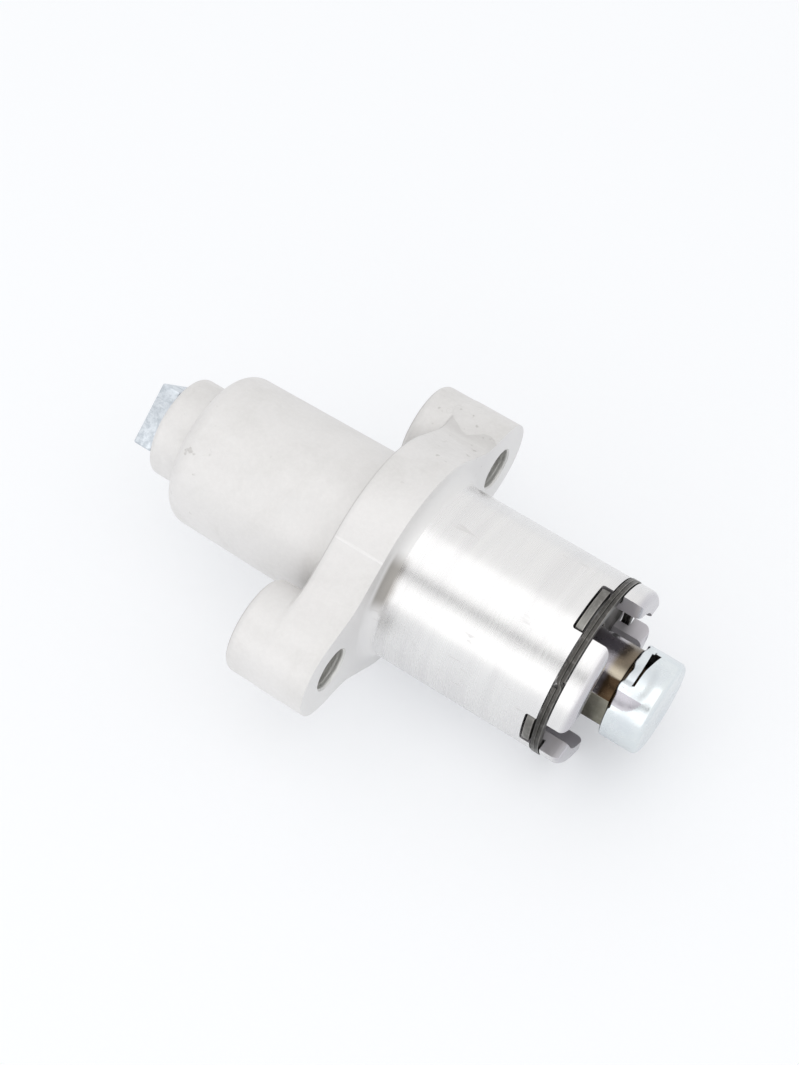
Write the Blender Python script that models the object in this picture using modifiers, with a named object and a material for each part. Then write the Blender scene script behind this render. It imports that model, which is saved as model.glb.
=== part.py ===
"""Timing chain tensioner with a screw-driven plunger.

A torsion spring turns a coarse screw shaft inside a die-cast housing. The plunger runs on the screw
as its nut, is kept from turning by a guide plate, and so moves straight out against the chain guide.

Design frame: the plunger axis is local Z with the nose at +Z, the two mounting ears lie along local X,
and local Y is up. The origin is on the axis, in the plane of the mounting face. An empty lays this
frame down, so that in the world +X runs along the plunger, +Y towards one ear and +Z is up.
"""

import math

import bmesh
import bpy
from mathutils import Matrix, Vector

MM = 0.001

# Fits
SEAT_GAP = 0.3 * MM            # between pieces that touch on the real object
RING_SIDE_GAP = 0.15 * MM      # beside the retaining ring in its groove
RUNNING_GAP = 0.5 * MM         # between pieces that turn or slide past each other
SINK = 0.25 * MM               # how deep a joined shape is sunk into its neighbour
OVERSHOOT = 6.0 * MM           # how far a cutter reaches past the face it cuts
WELD_DISTANCE = 0.01 * MM

# Mounting flange and ears
FLANGE_THICKNESS = 8.3 * MM
FLANGE_ARC_RADIUS = 17.4 * MM
FLANGE_CREASE_ANGLE = math.radians(40.0)
EAR_STANDOUT = 3.1266 * MM      # how far an ear stands out of the flange's flat side
FLANGE_EDGE_ROUND = 0.9 * MM
BOLT_SPACING = 44.0 * MM
EAR_RADIUS = 7.35 * MM
EAR_LENGTH = 13.3 * MM
EAR_END_ROUND = 2.2 * MM
EAR_BLEND_RADIUS = 3.5 * MM
EAR_FULL_WIDTH_SHARE = 1 / 3   # of the ear's outline, over which the flange sinks into the ear
MOUNT_HOLE_RADIUS = 3.25 * MM
MACHINING_STOCK = 0.6 * MM     # cast metal that turning takes off the mounting face and front barrel

# Rear barrel and boss
REAR_BARREL_RADIUS = 12.25 * MM
REAR_BARREL_LENGTH = 36.9 * MM
REAR_BARREL_DRAFT = math.radians(0.84)
REAR_SHOULDER_ROUND = 3.0 * MM
REAR_WALL = 2.8 * MM
BOSS_RADIUS = 8.0 * MM
BOSS_LENGTH = 5.6 * MM
BOSS_EDGE_ROUND = 0.9 * MM
BOSS_ROOT_ROUND = 0.7 * MM

# Front barrel and its castellated end
FRONT_BARREL_RADIUS = 14.0 * MM
FRONT_BARREL_LENGTH = 32.6 * MM
FRONT_ROOT_ROUND = 2.0 * MM
FRONT_EDGE_ROUND = 1.3 * MM
SLOT_DEPTH = 6.4 * MM
WIDE_SLOT = 8.6 * MM
NARROW_SLOT = 6.6 * MM
SLOT_FLOOR_ROUND = 0.4 * MM
POST_CORNER_ROUND = 1.1 * MM

# Bore of the housing
BARREL_WALL = 2.25 * MM        # of the rear barrel
FRONT_WALL = 3.0 * MM          # of the front barrel at its posts
BORE_FLOOR_ROUND = 1.6 * MM
FRONT_BORE_DEPTH = 13.0 * MM
BORE_STEP_LENGTH = 1.5 * MM
ANCHOR_GROOVE_DEPTH = 2.1 * MM
ANCHOR_GROOVE_LENGTH = 12.0 * MM

# Guide plate and retaining ring
PLATE_THICKNESS = 1.2 * MM
TAB_CORNER_ROUND = 0.5 * MM
RING_LAYER = 0.64 * MM
RING_LAYER_GAP = 0.08 * MM
RING_WIDTH = 1.5 * MM
RING_PROUD = 0.1 * MM          # how far the ring stands out of the barrel
RING_STEP_ANGLE = math.radians(6.0)
RING_GAP_ANGLE = math.radians(49.0)

# Plunger
PLUNGER_RADIUS = 6.1 * MM
PLUNGER_ACROSS_FLATS = 10.4 * MM
PLUNGER_CHAMFER = 0.4 * MM
PLUNGER_SCREW_CLEARANCE_LENGTH = 2.0 * MM
CRIMP_GROOVE_DEPTH = 1.1 * MM

# Plunger cap
CAP_WALL = 0.8 * MM
CAP_FRONT_WALL = 1.1 * MM
CAP_LENGTH = 5.9 * MM
CAP_REACH = 8.2 * MM           # from the post tips to the closed end of the cap, plunger run in
CAP_EDGE_ROUND = 0.9 * MM
SLIT_FROM_RIM = 2.0 * MM
SLIT_WIDTH = 0.45 * MM
SLIT_OPENING = 0.8 * MM        # width of the slit at its open end
SLIT_HALF_ANGLE = math.radians(30.0)
CRIMP_DEPTH = 0.75 * MM
CRIMP_LIP_DEPTH = 0.35 * MM
CRIMP_HALF_ANGLE = math.radians(54.0)
CRIMP_FLAT_HALF_ANGLE = math.radians(22.0)
CRIMP_FADE = 2.7 * MM

# Screw shaft
THREAD_MAJOR_RADIUS = 4.0 * MM
THREAD_DEPTH = 0.95 * MM
THREAD_STARTS = 2
THREAD_LEAD = 10.0 * MM
THREAD_LENGTH = 42.0 * MM
THREAD_CREST_SHARE = 0.28      # of the pitch, also the root's share
THREAD_STEP_ANGLE = math.radians(24.0)
THREAD_RUNNING_CLEARANCE = 0.3 * MM
JOURNAL_STEP = 0.2 * MM        # how much thicker the journal is than the thread
JOURNAL_LENGTH = 3.3 * MM
COLLAR_THICKNESS = 1.9 * MM
TAIL_RADIUS = 2.5 * MM
TAIL_LENGTH = 2.9 * MM
DRIVER_SLOT_WIDTH = 1.0 * MM
DRIVER_SLOT_DEPTH = 1.1 * MM

# Torsion spring, spacer tube and thrust seat
SPRING_WIRE_RADIUS = 0.7 * MM
SPRING_TURNS = 9
SPRING_POINTS_PER_TURN = 12
SPRING_FRONT_ROOM = 11.0 * MM  # from the last coil to the guide plate
SPACER_WALL = 0.8 * MM
SEAT_THICKNESS = 0.8 * MM

# Plug bolt and sealing washer
BOLT_RADIUS = 3.0 * MM
BOLT_LENGTH = 5.6 * MM
BOLT_HEAD_HEIGHT = 3.1 * MM
BOLT_HEAD_WIDTH = 9.9 * MM     # across the flats of its square head
BOLT_HEAD_TURN = math.radians(42.0)
BOLT_EDGE_ROUND = 0.25 * MM
BOLT_TIP_CHAMFER = 0.5 * MM
WASHER_THICKNESS = 0.7 * MM
WASHER_WIDTH = 1.2 * MM

# Facets
TURN_STEPS = 54
SMALL_TURN_STEPS = 32
PLUNGER_STEPS = 45
HOLE_STEPS = 28
RING_STEPS = 44
ARC_STEPS = 4
FLAT_LIMIT = math.radians(0.5)  # faces closer to level than this are joined

# Places along the axis, worked out from the sizes above
BARREL_END = -REAR_BARREL_LENGTH
BOSS_END = BARREL_END - BOSS_LENGTH
FLOOR = BARREL_END + REAR_WALL
POST_TIP = FRONT_BARREL_LENGTH
SLOT_FLOOR = POST_TIP - SLOT_DEPTH
PLATE_REAR = SLOT_FLOOR + SEAT_GAP
PLATE_FRONT = PLATE_REAR + PLATE_THICKNESS
RING_REAR = PLATE_FRONT + SEAT_GAP
RING_FRONT = RING_REAR + 2 * RING_LAYER + RING_LAYER_GAP
SEAT_REAR = FLOOR + SEAT_GAP
SEAT_FRONT = SEAT_REAR + SEAT_THICKNESS
COLLAR_REAR = SEAT_FRONT + SEAT_GAP
COLLAR_FRONT = COLLAR_REAR + COLLAR_THICKNESS
JOURNAL_FRONT = COLLAR_FRONT + JOURNAL_LENGTH
TAIL_END = COLLAR_REAR - TAIL_LENGTH
SCREW_FRONT = JOURNAL_FRONT + THREAD_LENGTH
SPACER_REAR = COLLAR_FRONT + SEAT_GAP
SPACER_FRONT = PLATE_REAR - SEAT_GAP
CAP_FRONT = POST_TIP + CAP_REACH
CAP_RIM = CAP_FRONT - CAP_LENGTH
SLIT_CENTRE = CAP_RIM + SLIT_FROM_RIM
PLUNGER_REAR = JOURNAL_FRONT + SEAT_GAP
PLUNGER_FRONT = CAP_FRONT - CAP_FRONT_WALL - SEAT_GAP
PLUNGER_BORE_END = SCREW_FRONT + PLUNGER_SCREW_CLEARANCE_LENGTH
RECESS_FLOOR = BOSS_END + WASHER_THICKNESS + SEAT_GAP
HEAD_FRONT = BOSS_END - SEAT_GAP
HEAD_END = HEAD_FRONT - BOLT_HEAD_HEIGHT
BOLT_TIP = HEAD_FRONT + BOLT_LENGTH
SPRING_REAR = COLLAR_REAR + COLLAR_THICKNESS / 2
SPRING_FRONT = PLATE_REAR - SPRING_FRONT_ROOM

# Radii worked out from the sizes above
BORE_RADIUS = REAR_BARREL_RADIUS - BARREL_WALL
FRONT_BORE_RADIUS = FRONT_BARREL_RADIUS - FRONT_WALL
ANCHOR_GROOVE_BOTTOM = BORE_RADIUS + ANCHOR_GROOVE_DEPTH
PLUG_HOLE_RADIUS = BOLT_RADIUS + SEAT_GAP
PILOT_RADIUS = TAIL_RADIUS + SEAT_GAP
THREAD_ROOT_RADIUS = THREAD_MAJOR_RADIUS - THREAD_DEPTH
PLUNGER_BORE_RADIUS = THREAD_MAJOR_RADIUS + THREAD_RUNNING_CLEARANCE
JOURNAL_RADIUS = THREAD_MAJOR_RADIUS + JOURNAL_STEP
CAP_BORE_RADIUS = PLUNGER_RADIUS + SEAT_GAP
CAP_RADIUS = CAP_BORE_RADIUS + CAP_WALL
SPACER_INNER_RADIUS = PLUNGER_RADIUS + RUNNING_GAP
COLLAR_RADIUS = SPACER_INNER_RADIUS + SPACER_WALL
SPRING_COIL_RADIUS = COLLAR_RADIUS + RUNNING_GAP + SPRING_WIRE_RADIUS
SEAT_RADIUS = BORE_RADIUS - BORE_FLOOR_ROUND
PLATE_RADIUS = FRONT_BORE_RADIUS - SEAT_GAP
RING_OUTER_RADIUS = FRONT_BARREL_RADIUS + RING_PROUD
RING_INNER_RADIUS = RING_OUTER_RADIUS - RING_WIDTH
GROOVE_RADIUS = RING_INNER_RADIUS - SEAT_GAP
WASHER_RADIUS = PLUG_HOLE_RADIUS + WASHER_WIDTH
RECESS_RADIUS = WASHER_RADIUS + SEAT_GAP
OUTSIDE = 3 * FLANGE_ARC_RADIUS


def new_collection(name):
    """Makes a collection in the scene."""
    collection = bpy.data.collections.new(name)
    bpy.context.scene.collection.children.link(collection)
    return collection


def add_object(name, data, collection, location=(0, 0, 0)):
    """Makes an object from a mesh or a curve and puts it in a collection."""
    obj = bpy.data.objects.new(name, data)
    obj.location = location
    collection.objects.link(obj)
    return obj


def arc(centre, radius, start, end, steps=ARC_STEPS):
    """Points of an arc in a plane, from one angle to another, ends included."""
    span = end - start
    return [
        (centre[0] + radius * math.cos(start + span * i / steps),
         centre[1] + radius * math.sin(start + span * i / steps))
        for i in range(steps + 1)
    ]


def turned(name, profile, collection, steps=TURN_STEPS, location=(0, 0, 0)):
    """Turns a profile of (radius, height) points about Z.

    The profile runs down its outer side. It is closed into a ring unless it starts on the axis.
    """
    mesh = bpy.data.meshes.new(name)
    edges = [(i, i + 1) for i in range(len(profile) - 1)]
    if profile[0][0] > 0:
        edges.append((len(profile) - 1, 0))
    mesh.from_pydata([(radius, 0.0, height) for radius, height in profile], edges, [])
    obj = add_object(name, mesh, collection, location)
    screw = obj.modifiers.new("turn", "SCREW")
    screw.axis = "Z"
    screw.angle = 2 * math.pi
    screw.steps = steps
    screw.render_steps = steps
    screw.use_merge_vertices = True
    screw.merge_threshold = WELD_DISTANCE
    return obj


def evaluated_copy(obj, name, collection):
    """Replaces an object by a plain mesh of its evaluated shape, with its caps welded."""
    bpy.context.view_layer.update()
    evaluated = obj.evaluated_get(bpy.context.evaluated_depsgraph_get())
    mesh = bpy.data.meshes.new_from_object(evaluated)
    mesh.name = name
    matrix = obj.matrix_world.copy()
    bpy.data.objects.remove(obj, do_unlink=True)
    bm = bmesh.new()
    bm.from_mesh(mesh)
    bmesh.ops.remove_doubles(bm, verts=bm.verts, dist=WELD_DISTANCE)
    bmesh.ops.dissolve_limit(bm, angle_limit=FLAT_LIMIT, verts=bm.verts, edges=bm.edges)
    bm.to_mesh(mesh)
    bm.free()
    copy = add_object(name, mesh, collection)
    copy.matrix_world = matrix
    return copy


def flat_piece(name, outlines, low, high, collection):
    """Extrudes outlines in the XY plane from one height to another; inner outlines become holes."""
    curve = bpy.data.curves.new(name, "CURVE")
    curve.dimensions = "2D"
    curve.fill_mode = "BOTH"
    curve.extrude = (high - low) / 2
    for outline in outlines:
        spline = curve.splines.new("POLY")
        spline.points.add(len(outline) - 1)
        for point, (x, y) in zip(spline.points, outline):
            point.co = (x, y, 0.0, 1.0)
        spline.use_cyclic_u = True
    obj = add_object(name, curve, collection, (0, 0, (low + high) / 2))
    return evaluated_copy(obj, name, collection)


def box(name, low, high, collection):
    """Makes a box between two corners."""
    bm = bmesh.new()
    bmesh.ops.create_cube(bm, size=1.0)
    size = [b - a for a, b in zip(low, high)]
    bmesh.ops.scale(bm, vec=size, verts=bm.verts)
    bmesh.ops.translate(bm, vec=[(a + b) / 2 for a, b in zip(low, high)], verts=bm.verts)
    mesh = bpy.data.meshes.new(name)
    bm.to_mesh(mesh)
    bm.free()
    return add_object(name, mesh, collection)


def swept_face(name, points, stretches, collection):
    """Sweeps a flat face about Z, one stretch after another, into a solid.

    Each stretch is (angle, rise, steps); a rise along Z makes it a helix.
    """
    bm = bmesh.new()
    face = bm.faces.new([bm.verts.new(point) for point in points])
    for angle, rise, steps in stretches:
        geometry = list(face.verts) + list(face.edges) + [face]
        result = bmesh.ops.spin(bm, geom=geometry, cent=(0, 0, 0), axis=(0, 0, 1),
                                dvec=(0, 0, rise / steps), angle=angle, steps=steps)
        face = next(item for item in result["geom_last"] if isinstance(item, bmesh.types.BMFace))
    bmesh.ops.recalc_face_normals(bm, faces=bm.faces)
    mesh = bpy.data.meshes.new(name)
    bm.to_mesh(mesh)
    bm.free()
    return add_object(name, mesh, collection)


def combine(obj, tool, operation, solver="EXACT"):
    """Joins, cuts or trims an object by another, which stays as a hidden tool."""
    modifier = obj.modifiers.new(operation.lower() + "_" + tool.name, "BOOLEAN")
    modifier.operation = operation
    modifier.object = tool
    modifier.solver = solver
    tool.hide_render = True
    tool.display_type = "WIRE"


def dress(obj, color, roughness, metallic, sharp_angle=35.0):
    """Gives an object its own material and smooth shading up to a sharp angle."""
    material = bpy.data.materials.new(obj.name)
    material.use_nodes = True
    shader = material.node_tree.nodes["Principled BSDF"]
    shader.inputs["Base Color"].default_value = (*color, 1.0)
    shader.inputs["Roughness"].default_value = roughness
    shader.inputs["Metallic"].default_value = metallic
    obj.data.materials.append(material)
    if obj.type == "MESH":
        obj.data.shade_smooth()
        obj.data.set_sharp_from_angle(angle=math.radians(sharp_angle))


def flange_quadrant():
    """Outline of a quarter of the flange, from its top to the outer end of the ear on +X."""
    ear_x = BOLT_SPACING / 2
    ear = Vector((ear_x, 0))
    crease = FLANGE_ARC_RADIUS * Vector((math.sin(FLANGE_CREASE_ANGLE), math.cos(FLANGE_CREASE_ANGLE)))
    to_ear_centre = ear - crease
    lean = math.asin((EAR_RADIUS - EAR_STANDOUT) / to_ear_centre.length)
    along = Matrix.Rotation(lean, 2) @ to_ear_centre.normalized()
    normal = Vector((-along.y, along.x))
    flat_distance = crease.dot(normal)
    crown = arc((0, 0), FLANGE_ARC_RADIUS, math.pi / 2, math.pi / 2 - FLANGE_CREASE_ANGLE, 2 * ARC_STEPS)

    across = flat_distance + EAR_BLEND_RADIUS - ear.dot(normal)
    reach = math.sqrt((EAR_RADIUS + EAR_BLEND_RADIUS) ** 2 - across ** 2)
    blend = normal * (flat_distance + EAR_BLEND_RADIUS) + along * (ear.dot(along) - reach)
    to_ear = ear - blend
    start = math.atan2(-normal.y, -normal.x)
    end = math.atan2(to_ear.y, to_ear.x)
    hollow = arc(blend, EAR_BLEND_RADIUS, start, end)

    touch = math.atan2(-to_ear.y, -to_ear.x)
    steps = 2 * ARC_STEPS
    tip = []
    for i in range(1, steps + 1):
        angle = touch * (1 - i / steps)
        radius = EAR_RADIUS - SINK * min(1.0, i / steps / EAR_FULL_WIDTH_SHARE)
        tip.append((ear_x + radius * math.cos(angle), radius * math.sin(angle)))
    return crown + hollow + tip


def mirrored_outline(quadrant):
    """Closes an outline from a quarter that starts on the Y axis and ends on the X axis."""
    right_lower = [(x, -y) for x, y in reversed(quadrant[:-1])]
    right = quadrant + right_lower
    left = [(-x, y) for x, y in reversed(right[1:-1])]
    return right + left


def casting_blank(collection):
    """The turned core of the casting, before machining, with a solid inside."""
    rear_radius = REAR_BARREL_RADIUS
    root_radius = rear_radius + (REAR_BARREL_LENGTH - FLANGE_THICKNESS / 2) * math.tan(REAR_BARREL_DRAFT)
    rough_radius = FRONT_BARREL_RADIUS + MACHINING_STOCK
    rough_root = FRONT_BARREL_RADIUS + FRONT_ROOT_ROUND + MACHINING_STOCK
    shoulder = arc((rear_radius - REAR_SHOULDER_ROUND, BARREL_END + REAR_SHOULDER_ROUND),
                   REAR_SHOULDER_ROUND, 0.0, -math.pi / 2)
    boss_root = arc((BOSS_RADIUS + BOSS_ROOT_ROUND, BARREL_END - BOSS_ROOT_ROUND),
                    BOSS_ROOT_ROUND, math.pi / 2, math.pi, 2)
    boss_edge = arc((BOSS_RADIUS - BOSS_EDGE_ROUND, BOSS_END + BOSS_EDGE_ROUND),
                    BOSS_EDGE_ROUND, 0.0, -math.pi / 2, 3)
    profile = [
        (0.0, POST_TIP + MACHINING_STOCK),
        (rough_radius, POST_TIP + MACHINING_STOCK),
        (rough_radius, FRONT_ROOT_ROUND + MACHINING_STOCK),
        (rough_root, MACHINING_STOCK),
        (rough_root, -FLANGE_THICKNESS / 2),
        (root_radius, -FLANGE_THICKNESS / 2),
        *shoulder,
        *boss_root,
        *boss_edge,
        (0.0, BOSS_END),
    ]
    return turned("housing", profile, collection)


def machining_cutter(collection):
    """What turning removes in front: the mounting face, the front barrel, its groove and post tips."""
    tip = arc((FRONT_BARREL_RADIUS - FRONT_EDGE_ROUND, POST_TIP - FRONT_EDGE_ROUND),
              FRONT_EDGE_ROUND, 0.0, math.pi / 2)
    root = arc((FRONT_BARREL_RADIUS + FRONT_ROOT_ROUND, FRONT_ROOT_ROUND),
               FRONT_ROOT_ROUND, -math.pi / 2, -math.pi)
    beyond = POST_TIP + OVERSHOOT
    profile = [
        (0.0, beyond),
        (OUTSIDE, beyond),
        (OUTSIDE, 0.0),
        *root,
        (FRONT_BARREL_RADIUS, RING_REAR - RING_SIDE_GAP),
        (GROOVE_RADIUS, RING_REAR - RING_SIDE_GAP),
        (GROOVE_RADIUS, RING_FRONT + RING_SIDE_GAP),
        (FRONT_BARREL_RADIUS, RING_FRONT + RING_SIDE_GAP),
        *tip,
        (0.0, POST_TIP),
    ]
    return turned("machining_cutter", profile, collection)


def bore_cutter(collection):
    """The whole hollow of the housing, from the plug hole in the boss to the open front."""
    step_top = POST_TIP - FRONT_BORE_DEPTH
    corner = arc((BORE_RADIUS - BORE_FLOOR_ROUND, FLOOR + BORE_FLOOR_ROUND),
                 BORE_FLOOR_ROUND, 0.0, -math.pi / 2, 3)
    pilot_rear = TAIL_END - SEAT_GAP
    profile = [
        (0.0, POST_TIP + FRONT_EDGE_ROUND),
        (FRONT_BORE_RADIUS, POST_TIP + FRONT_EDGE_ROUND),
        (FRONT_BORE_RADIUS, step_top),
        (BORE_RADIUS, step_top - BORE_STEP_LENGTH),
        *corner,
        (PILOT_RADIUS, FLOOR),
        (PILOT_RADIUS, pilot_rear),
        (PLUG_HOLE_RADIUS, pilot_rear),
        (PLUG_HOLE_RADIUS, RECESS_FLOOR),
        (RECESS_RADIUS, RECESS_FLOOR),
        (RECESS_RADIUS, BOSS_END - BOSS_EDGE_ROUND),
        (0.0, BOSS_END - BOSS_EDGE_ROUND),
    ]
    return turned("bore_cutter", profile, collection)


def slot_cutter(name, width, turn, collection):
    """A slot across the front end, with a rounded floor and rounded post corners at its mouth."""
    half = width / 2
    top = POST_TIP + FRONT_EDGE_ROUND
    floor_right = arc((half - SLOT_FLOOR_ROUND, SLOT_FLOOR + SLOT_FLOOR_ROUND),
                      SLOT_FLOOR_ROUND, -math.pi / 2, 0.0, 2)
    mouth_right = arc((half + POST_CORNER_ROUND, POST_TIP - POST_CORNER_ROUND),
                      POST_CORNER_ROUND, math.pi, math.pi / 2, 3)
    right = floor_right + mouth_right + [(half + POST_CORNER_ROUND, top)]
    outline = right + [(-x, z) for x, z in reversed(right)]
    cutter = flat_piece(name, [outline], -OUTSIDE / 2, OUTSIDE / 2, collection)
    cutter.matrix_world = Matrix.Rotation(turn, 4, "Z") @ Matrix.Rotation(math.pi / 2, 4, "X")
    return cutter


def build_housing(parts, cutters):
    """The die-cast housing, machined in front and bored through."""
    housing = casting_blank(parts)
    flange = flat_piece("flange", [mirrored_outline(flange_quadrant())],
                        -FLANGE_THICKNESS, FRONT_ROOT_ROUND, cutters)
    bevel = flange.modifiers.new("cast_edge", "BEVEL")
    bevel.width = FLANGE_EDGE_ROUND
    bevel.segments = 2
    bevel.limit_method = "ANGLE"
    bevel.angle_limit = math.radians(60.0)
    steps = [(flange, "UNION")]

    ear_profile = [
        (0.0, FRONT_ROOT_ROUND + SINK),
        (EAR_RADIUS, FRONT_ROOT_ROUND + SINK),
        *arc((EAR_RADIUS - EAR_END_ROUND, EAR_END_ROUND - EAR_LENGTH), EAR_END_ROUND, 0.0, -math.pi / 2),
        (0.0, -EAR_LENGTH),
    ]
    hole_profile = [
        (0.0, FRONT_ROOT_ROUND),
        (MOUNT_HOLE_RADIUS, FRONT_ROOT_ROUND),
        (MOUNT_HOLE_RADIUS, -EAR_LENGTH - EAR_END_ROUND),
        (0.0, -EAR_LENGTH - EAR_END_ROUND),
    ]
    sides = (("left", -BOLT_SPACING / 2), ("right", BOLT_SPACING / 2))
    for side, x in sides:
        ear = turned("ear_" + side, ear_profile, cutters, SMALL_TURN_STEPS, (x, 0, 0))
        steps.append((ear, "UNION"))
    steps.append((machining_cutter(cutters), "DIFFERENCE"))
    steps.append((bore_cutter(cutters), "DIFFERENCE"))
    for side, x in sides:
        hole = turned("mount_hole_" + side, hole_profile, cutters, HOLE_STEPS, (x, 0, 0))
        steps.append((hole, "DIFFERENCE"))
    steps.append((slot_cutter("wide_slots", WIDE_SLOT, 0.0, cutters), "DIFFERENCE"))
    steps.append((slot_cutter("narrow_slots", NARROW_SLOT, math.pi / 2, cutters), "DIFFERENCE"))

    groove_half = SPRING_WIRE_RADIUS + SEAT_GAP
    groove = box("anchor_groove",
                 (-groove_half, BORE_RADIUS - SINK * 4, SLOT_FLOOR - ANCHOR_GROOVE_LENGTH),
                 (groove_half, ANCHOR_GROOVE_BOTTOM, SLOT_FLOOR + SINK), cutters)
    steps.append((groove, "DIFFERENCE"))
    for tool, operation in steps:
        combine(housing, tool, operation, "MANIFOLD")
    dress(housing, (0.80, 0.79, 0.78), 0.5, 0.9)
    return housing


def double_d(radius, half_flat):
    """Outline of a round hole or bar with two flats that face +X and -X."""
    start = math.acos(half_flat / radius)
    upper = arc((0, 0), radius, start, math.pi - start, 4 * ARC_STEPS)
    return upper + [(-x, -y) for x, y in upper]


def plate_outline():
    """Outline of the guide plate: a disc with two wide and two narrow tabs that reach the barrel."""
    outline = []
    widths = (NARROW_SLOT, WIDE_SLOT, NARROW_SLOT, WIDE_SLOT)
    halves = [width / 2 - SEAT_GAP for width in widths]
    for i, half in enumerate(halves):
        turn = Matrix.Rotation(i * math.pi / 2, 2)
        tip = math.sqrt(FRONT_BARREL_RADIUS ** 2 - half ** 2)
        crown = math.acos(half / FRONT_BARREL_RADIUS)
        root = math.sqrt(PLATE_RADIUS ** 2 - half ** 2)
        corner = TAB_CORNER_ROUND
        reach = math.pi / 2 - crown - corner / FRONT_BARREL_RADIUS
        tab = [(root, -half), (tip - corner, -half)]
        tab += arc((0, 0), FRONT_BARREL_RADIUS, -reach, reach)
        tab += [(tip - corner, half), (root, half)]
        outline += [tuple(turn @ Vector(point)) for point in tab]
        next_half = halves[(i + 1) % 4]
        start = math.asin(half / PLATE_RADIUS) + i * math.pi / 2
        end = (i + 1) * math.pi / 2 - math.asin(next_half / PLATE_RADIUS)
        outline += arc((0, 0), PLATE_RADIUS, start, end, 2 * ARC_STEPS)[1:-1]
    return outline


def build_guide_plate(parts):
    """The plate that keeps the plunger from turning, held by its tabs in the four slots."""
    hole = double_d(PLUNGER_RADIUS + SEAT_GAP, PLUNGER_ACROSS_FLATS / 2 + SEAT_GAP)
    plate = flat_piece("guide_plate", [plate_outline(), hole], PLATE_REAR, PLATE_FRONT, parts)
    dress(plate, (0.20, 0.19, 0.18), 0.45, 0.9)
    return plate


def build_retaining_ring(parts):
    """The two-turn ring that lies in the groove of the posts, with its step between the turns."""
    corners = [
        (RING_INNER_RADIUS, 0.0, RING_REAR),
        (RING_OUTER_RADIUS, 0.0, RING_REAR),
        (RING_OUTER_RADIUS, 0.0, RING_REAR + RING_LAYER),
        (RING_INNER_RADIUS, 0.0, RING_REAR + RING_LAYER),
    ]
    turn = 2 * math.pi - RING_STEP_ANGLE
    rise = RING_LAYER + RING_LAYER_GAP
    stretches = [(turn, 0.0, RING_STEPS), (RING_STEP_ANGLE, rise, 2), (turn, 0.0, RING_STEPS)]
    ring = swept_face("retaining_ring", corners, stretches, parts)
    ring.rotation_euler.z = math.pi / 2 + RING_GAP_ANGLE
    dress(ring, (0.12, 0.115, 0.11), 0.4, 0.9)
    return ring


def thread_outline():
    """Cross-section of the multi-start thread, as points of crest and root in turn."""
    pitch_angle = 2 * math.pi / THREAD_STARTS
    half = THREAD_CREST_SHARE / 2 * pitch_angle
    points = []
    for start in range(THREAD_STARTS):
        crest = start * pitch_angle
        root = crest + pitch_angle / 2
        for middle, radius in ((crest, THREAD_MAJOR_RADIUS), (root, THREAD_ROOT_RADIUS)):
            points += arc((0, 0), radius, middle - half, middle + half, 2)
    return points


def threaded_bar(name, low, high, collection):
    """A bar with the coarse right-hand thread, made by turning its section as it rises."""
    section = [(x, y, low) for x, y in thread_outline()]
    angle = 2 * math.pi * (high - low) / THREAD_LEAD
    steps = max(1, round(angle / THREAD_STEP_ANGLE))
    return swept_face(name, section, [(angle, high - low, steps)], collection)


def build_plunger(parts, cutters, parent):
    """The plunger, which is the nut on the screw, with two flats, a crimp groove and a blind bore."""
    groove_low = CAP_RIM - SEAT_GAP
    groove_high = SLIT_CENTRE + CRIMP_FADE
    groove_radius = PLUNGER_RADIUS - CRIMP_GROOVE_DEPTH
    c = PLUNGER_CHAMFER
    profile = [
        (0.0, PLUNGER_FRONT),
        (PLUNGER_RADIUS - c, PLUNGER_FRONT),
        (PLUNGER_RADIUS, PLUNGER_FRONT - c),
        (PLUNGER_RADIUS, groove_high),
        (groove_radius, groove_high),
        (groove_radius, groove_low),
        (PLUNGER_RADIUS, groove_low),
        (PLUNGER_RADIUS, PLUNGER_REAR + c),
        (PLUNGER_RADIUS - c, PLUNGER_REAR),
        (PLUNGER_BORE_RADIUS, PLUNGER_REAR),
        (PLUNGER_BORE_RADIUS, PLUNGER_BORE_END),
        (0.0, PLUNGER_BORE_END + PLUNGER_BORE_RADIUS / 2),
    ]
    plunger = turned("plunger", profile, parts, PLUNGER_STEPS)
    flat_end = (groove_low + groove_high) / 2
    for side in (-1, 1):
        edges = sorted((side * PLUNGER_ACROSS_FLATS / 2, side * 2 * PLUNGER_RADIUS))
        flat = box("plunger_flat_" + str(side + 1),
                   (edges[0], -2 * PLUNGER_RADIUS, PLUNGER_REAR - c),
                   (edges[1], 2 * PLUNGER_RADIUS, flat_end), cutters)
        combine(plunger, flat, "DIFFERENCE", "MANIFOLD")
    dress(plunger, (0.22, 0.19, 0.16), 0.4, 0.9)
    plunger.parent = parent
    return plunger


def smooth(value):
    """Eases a value between 0 and 1."""
    t = min(1.0, max(0.0, value))
    return t * t * (3 - 2 * t)


def crimp_depth(angle, height):
    """How far the cap's wall is pressed in, at an angle from up and a height along the axis."""
    across = smooth((CRIMP_HALF_ANGLE - abs(angle)) / (CRIMP_HALF_ANGLE - CRIMP_FLAT_HALF_ANGLE))
    if height <= SLIT_CENTRE:
        return CRIMP_DEPTH * across
    return CRIMP_LIP_DEPTH * across * smooth(1 - (height - SLIT_CENTRE) / CRIMP_FADE)


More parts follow.
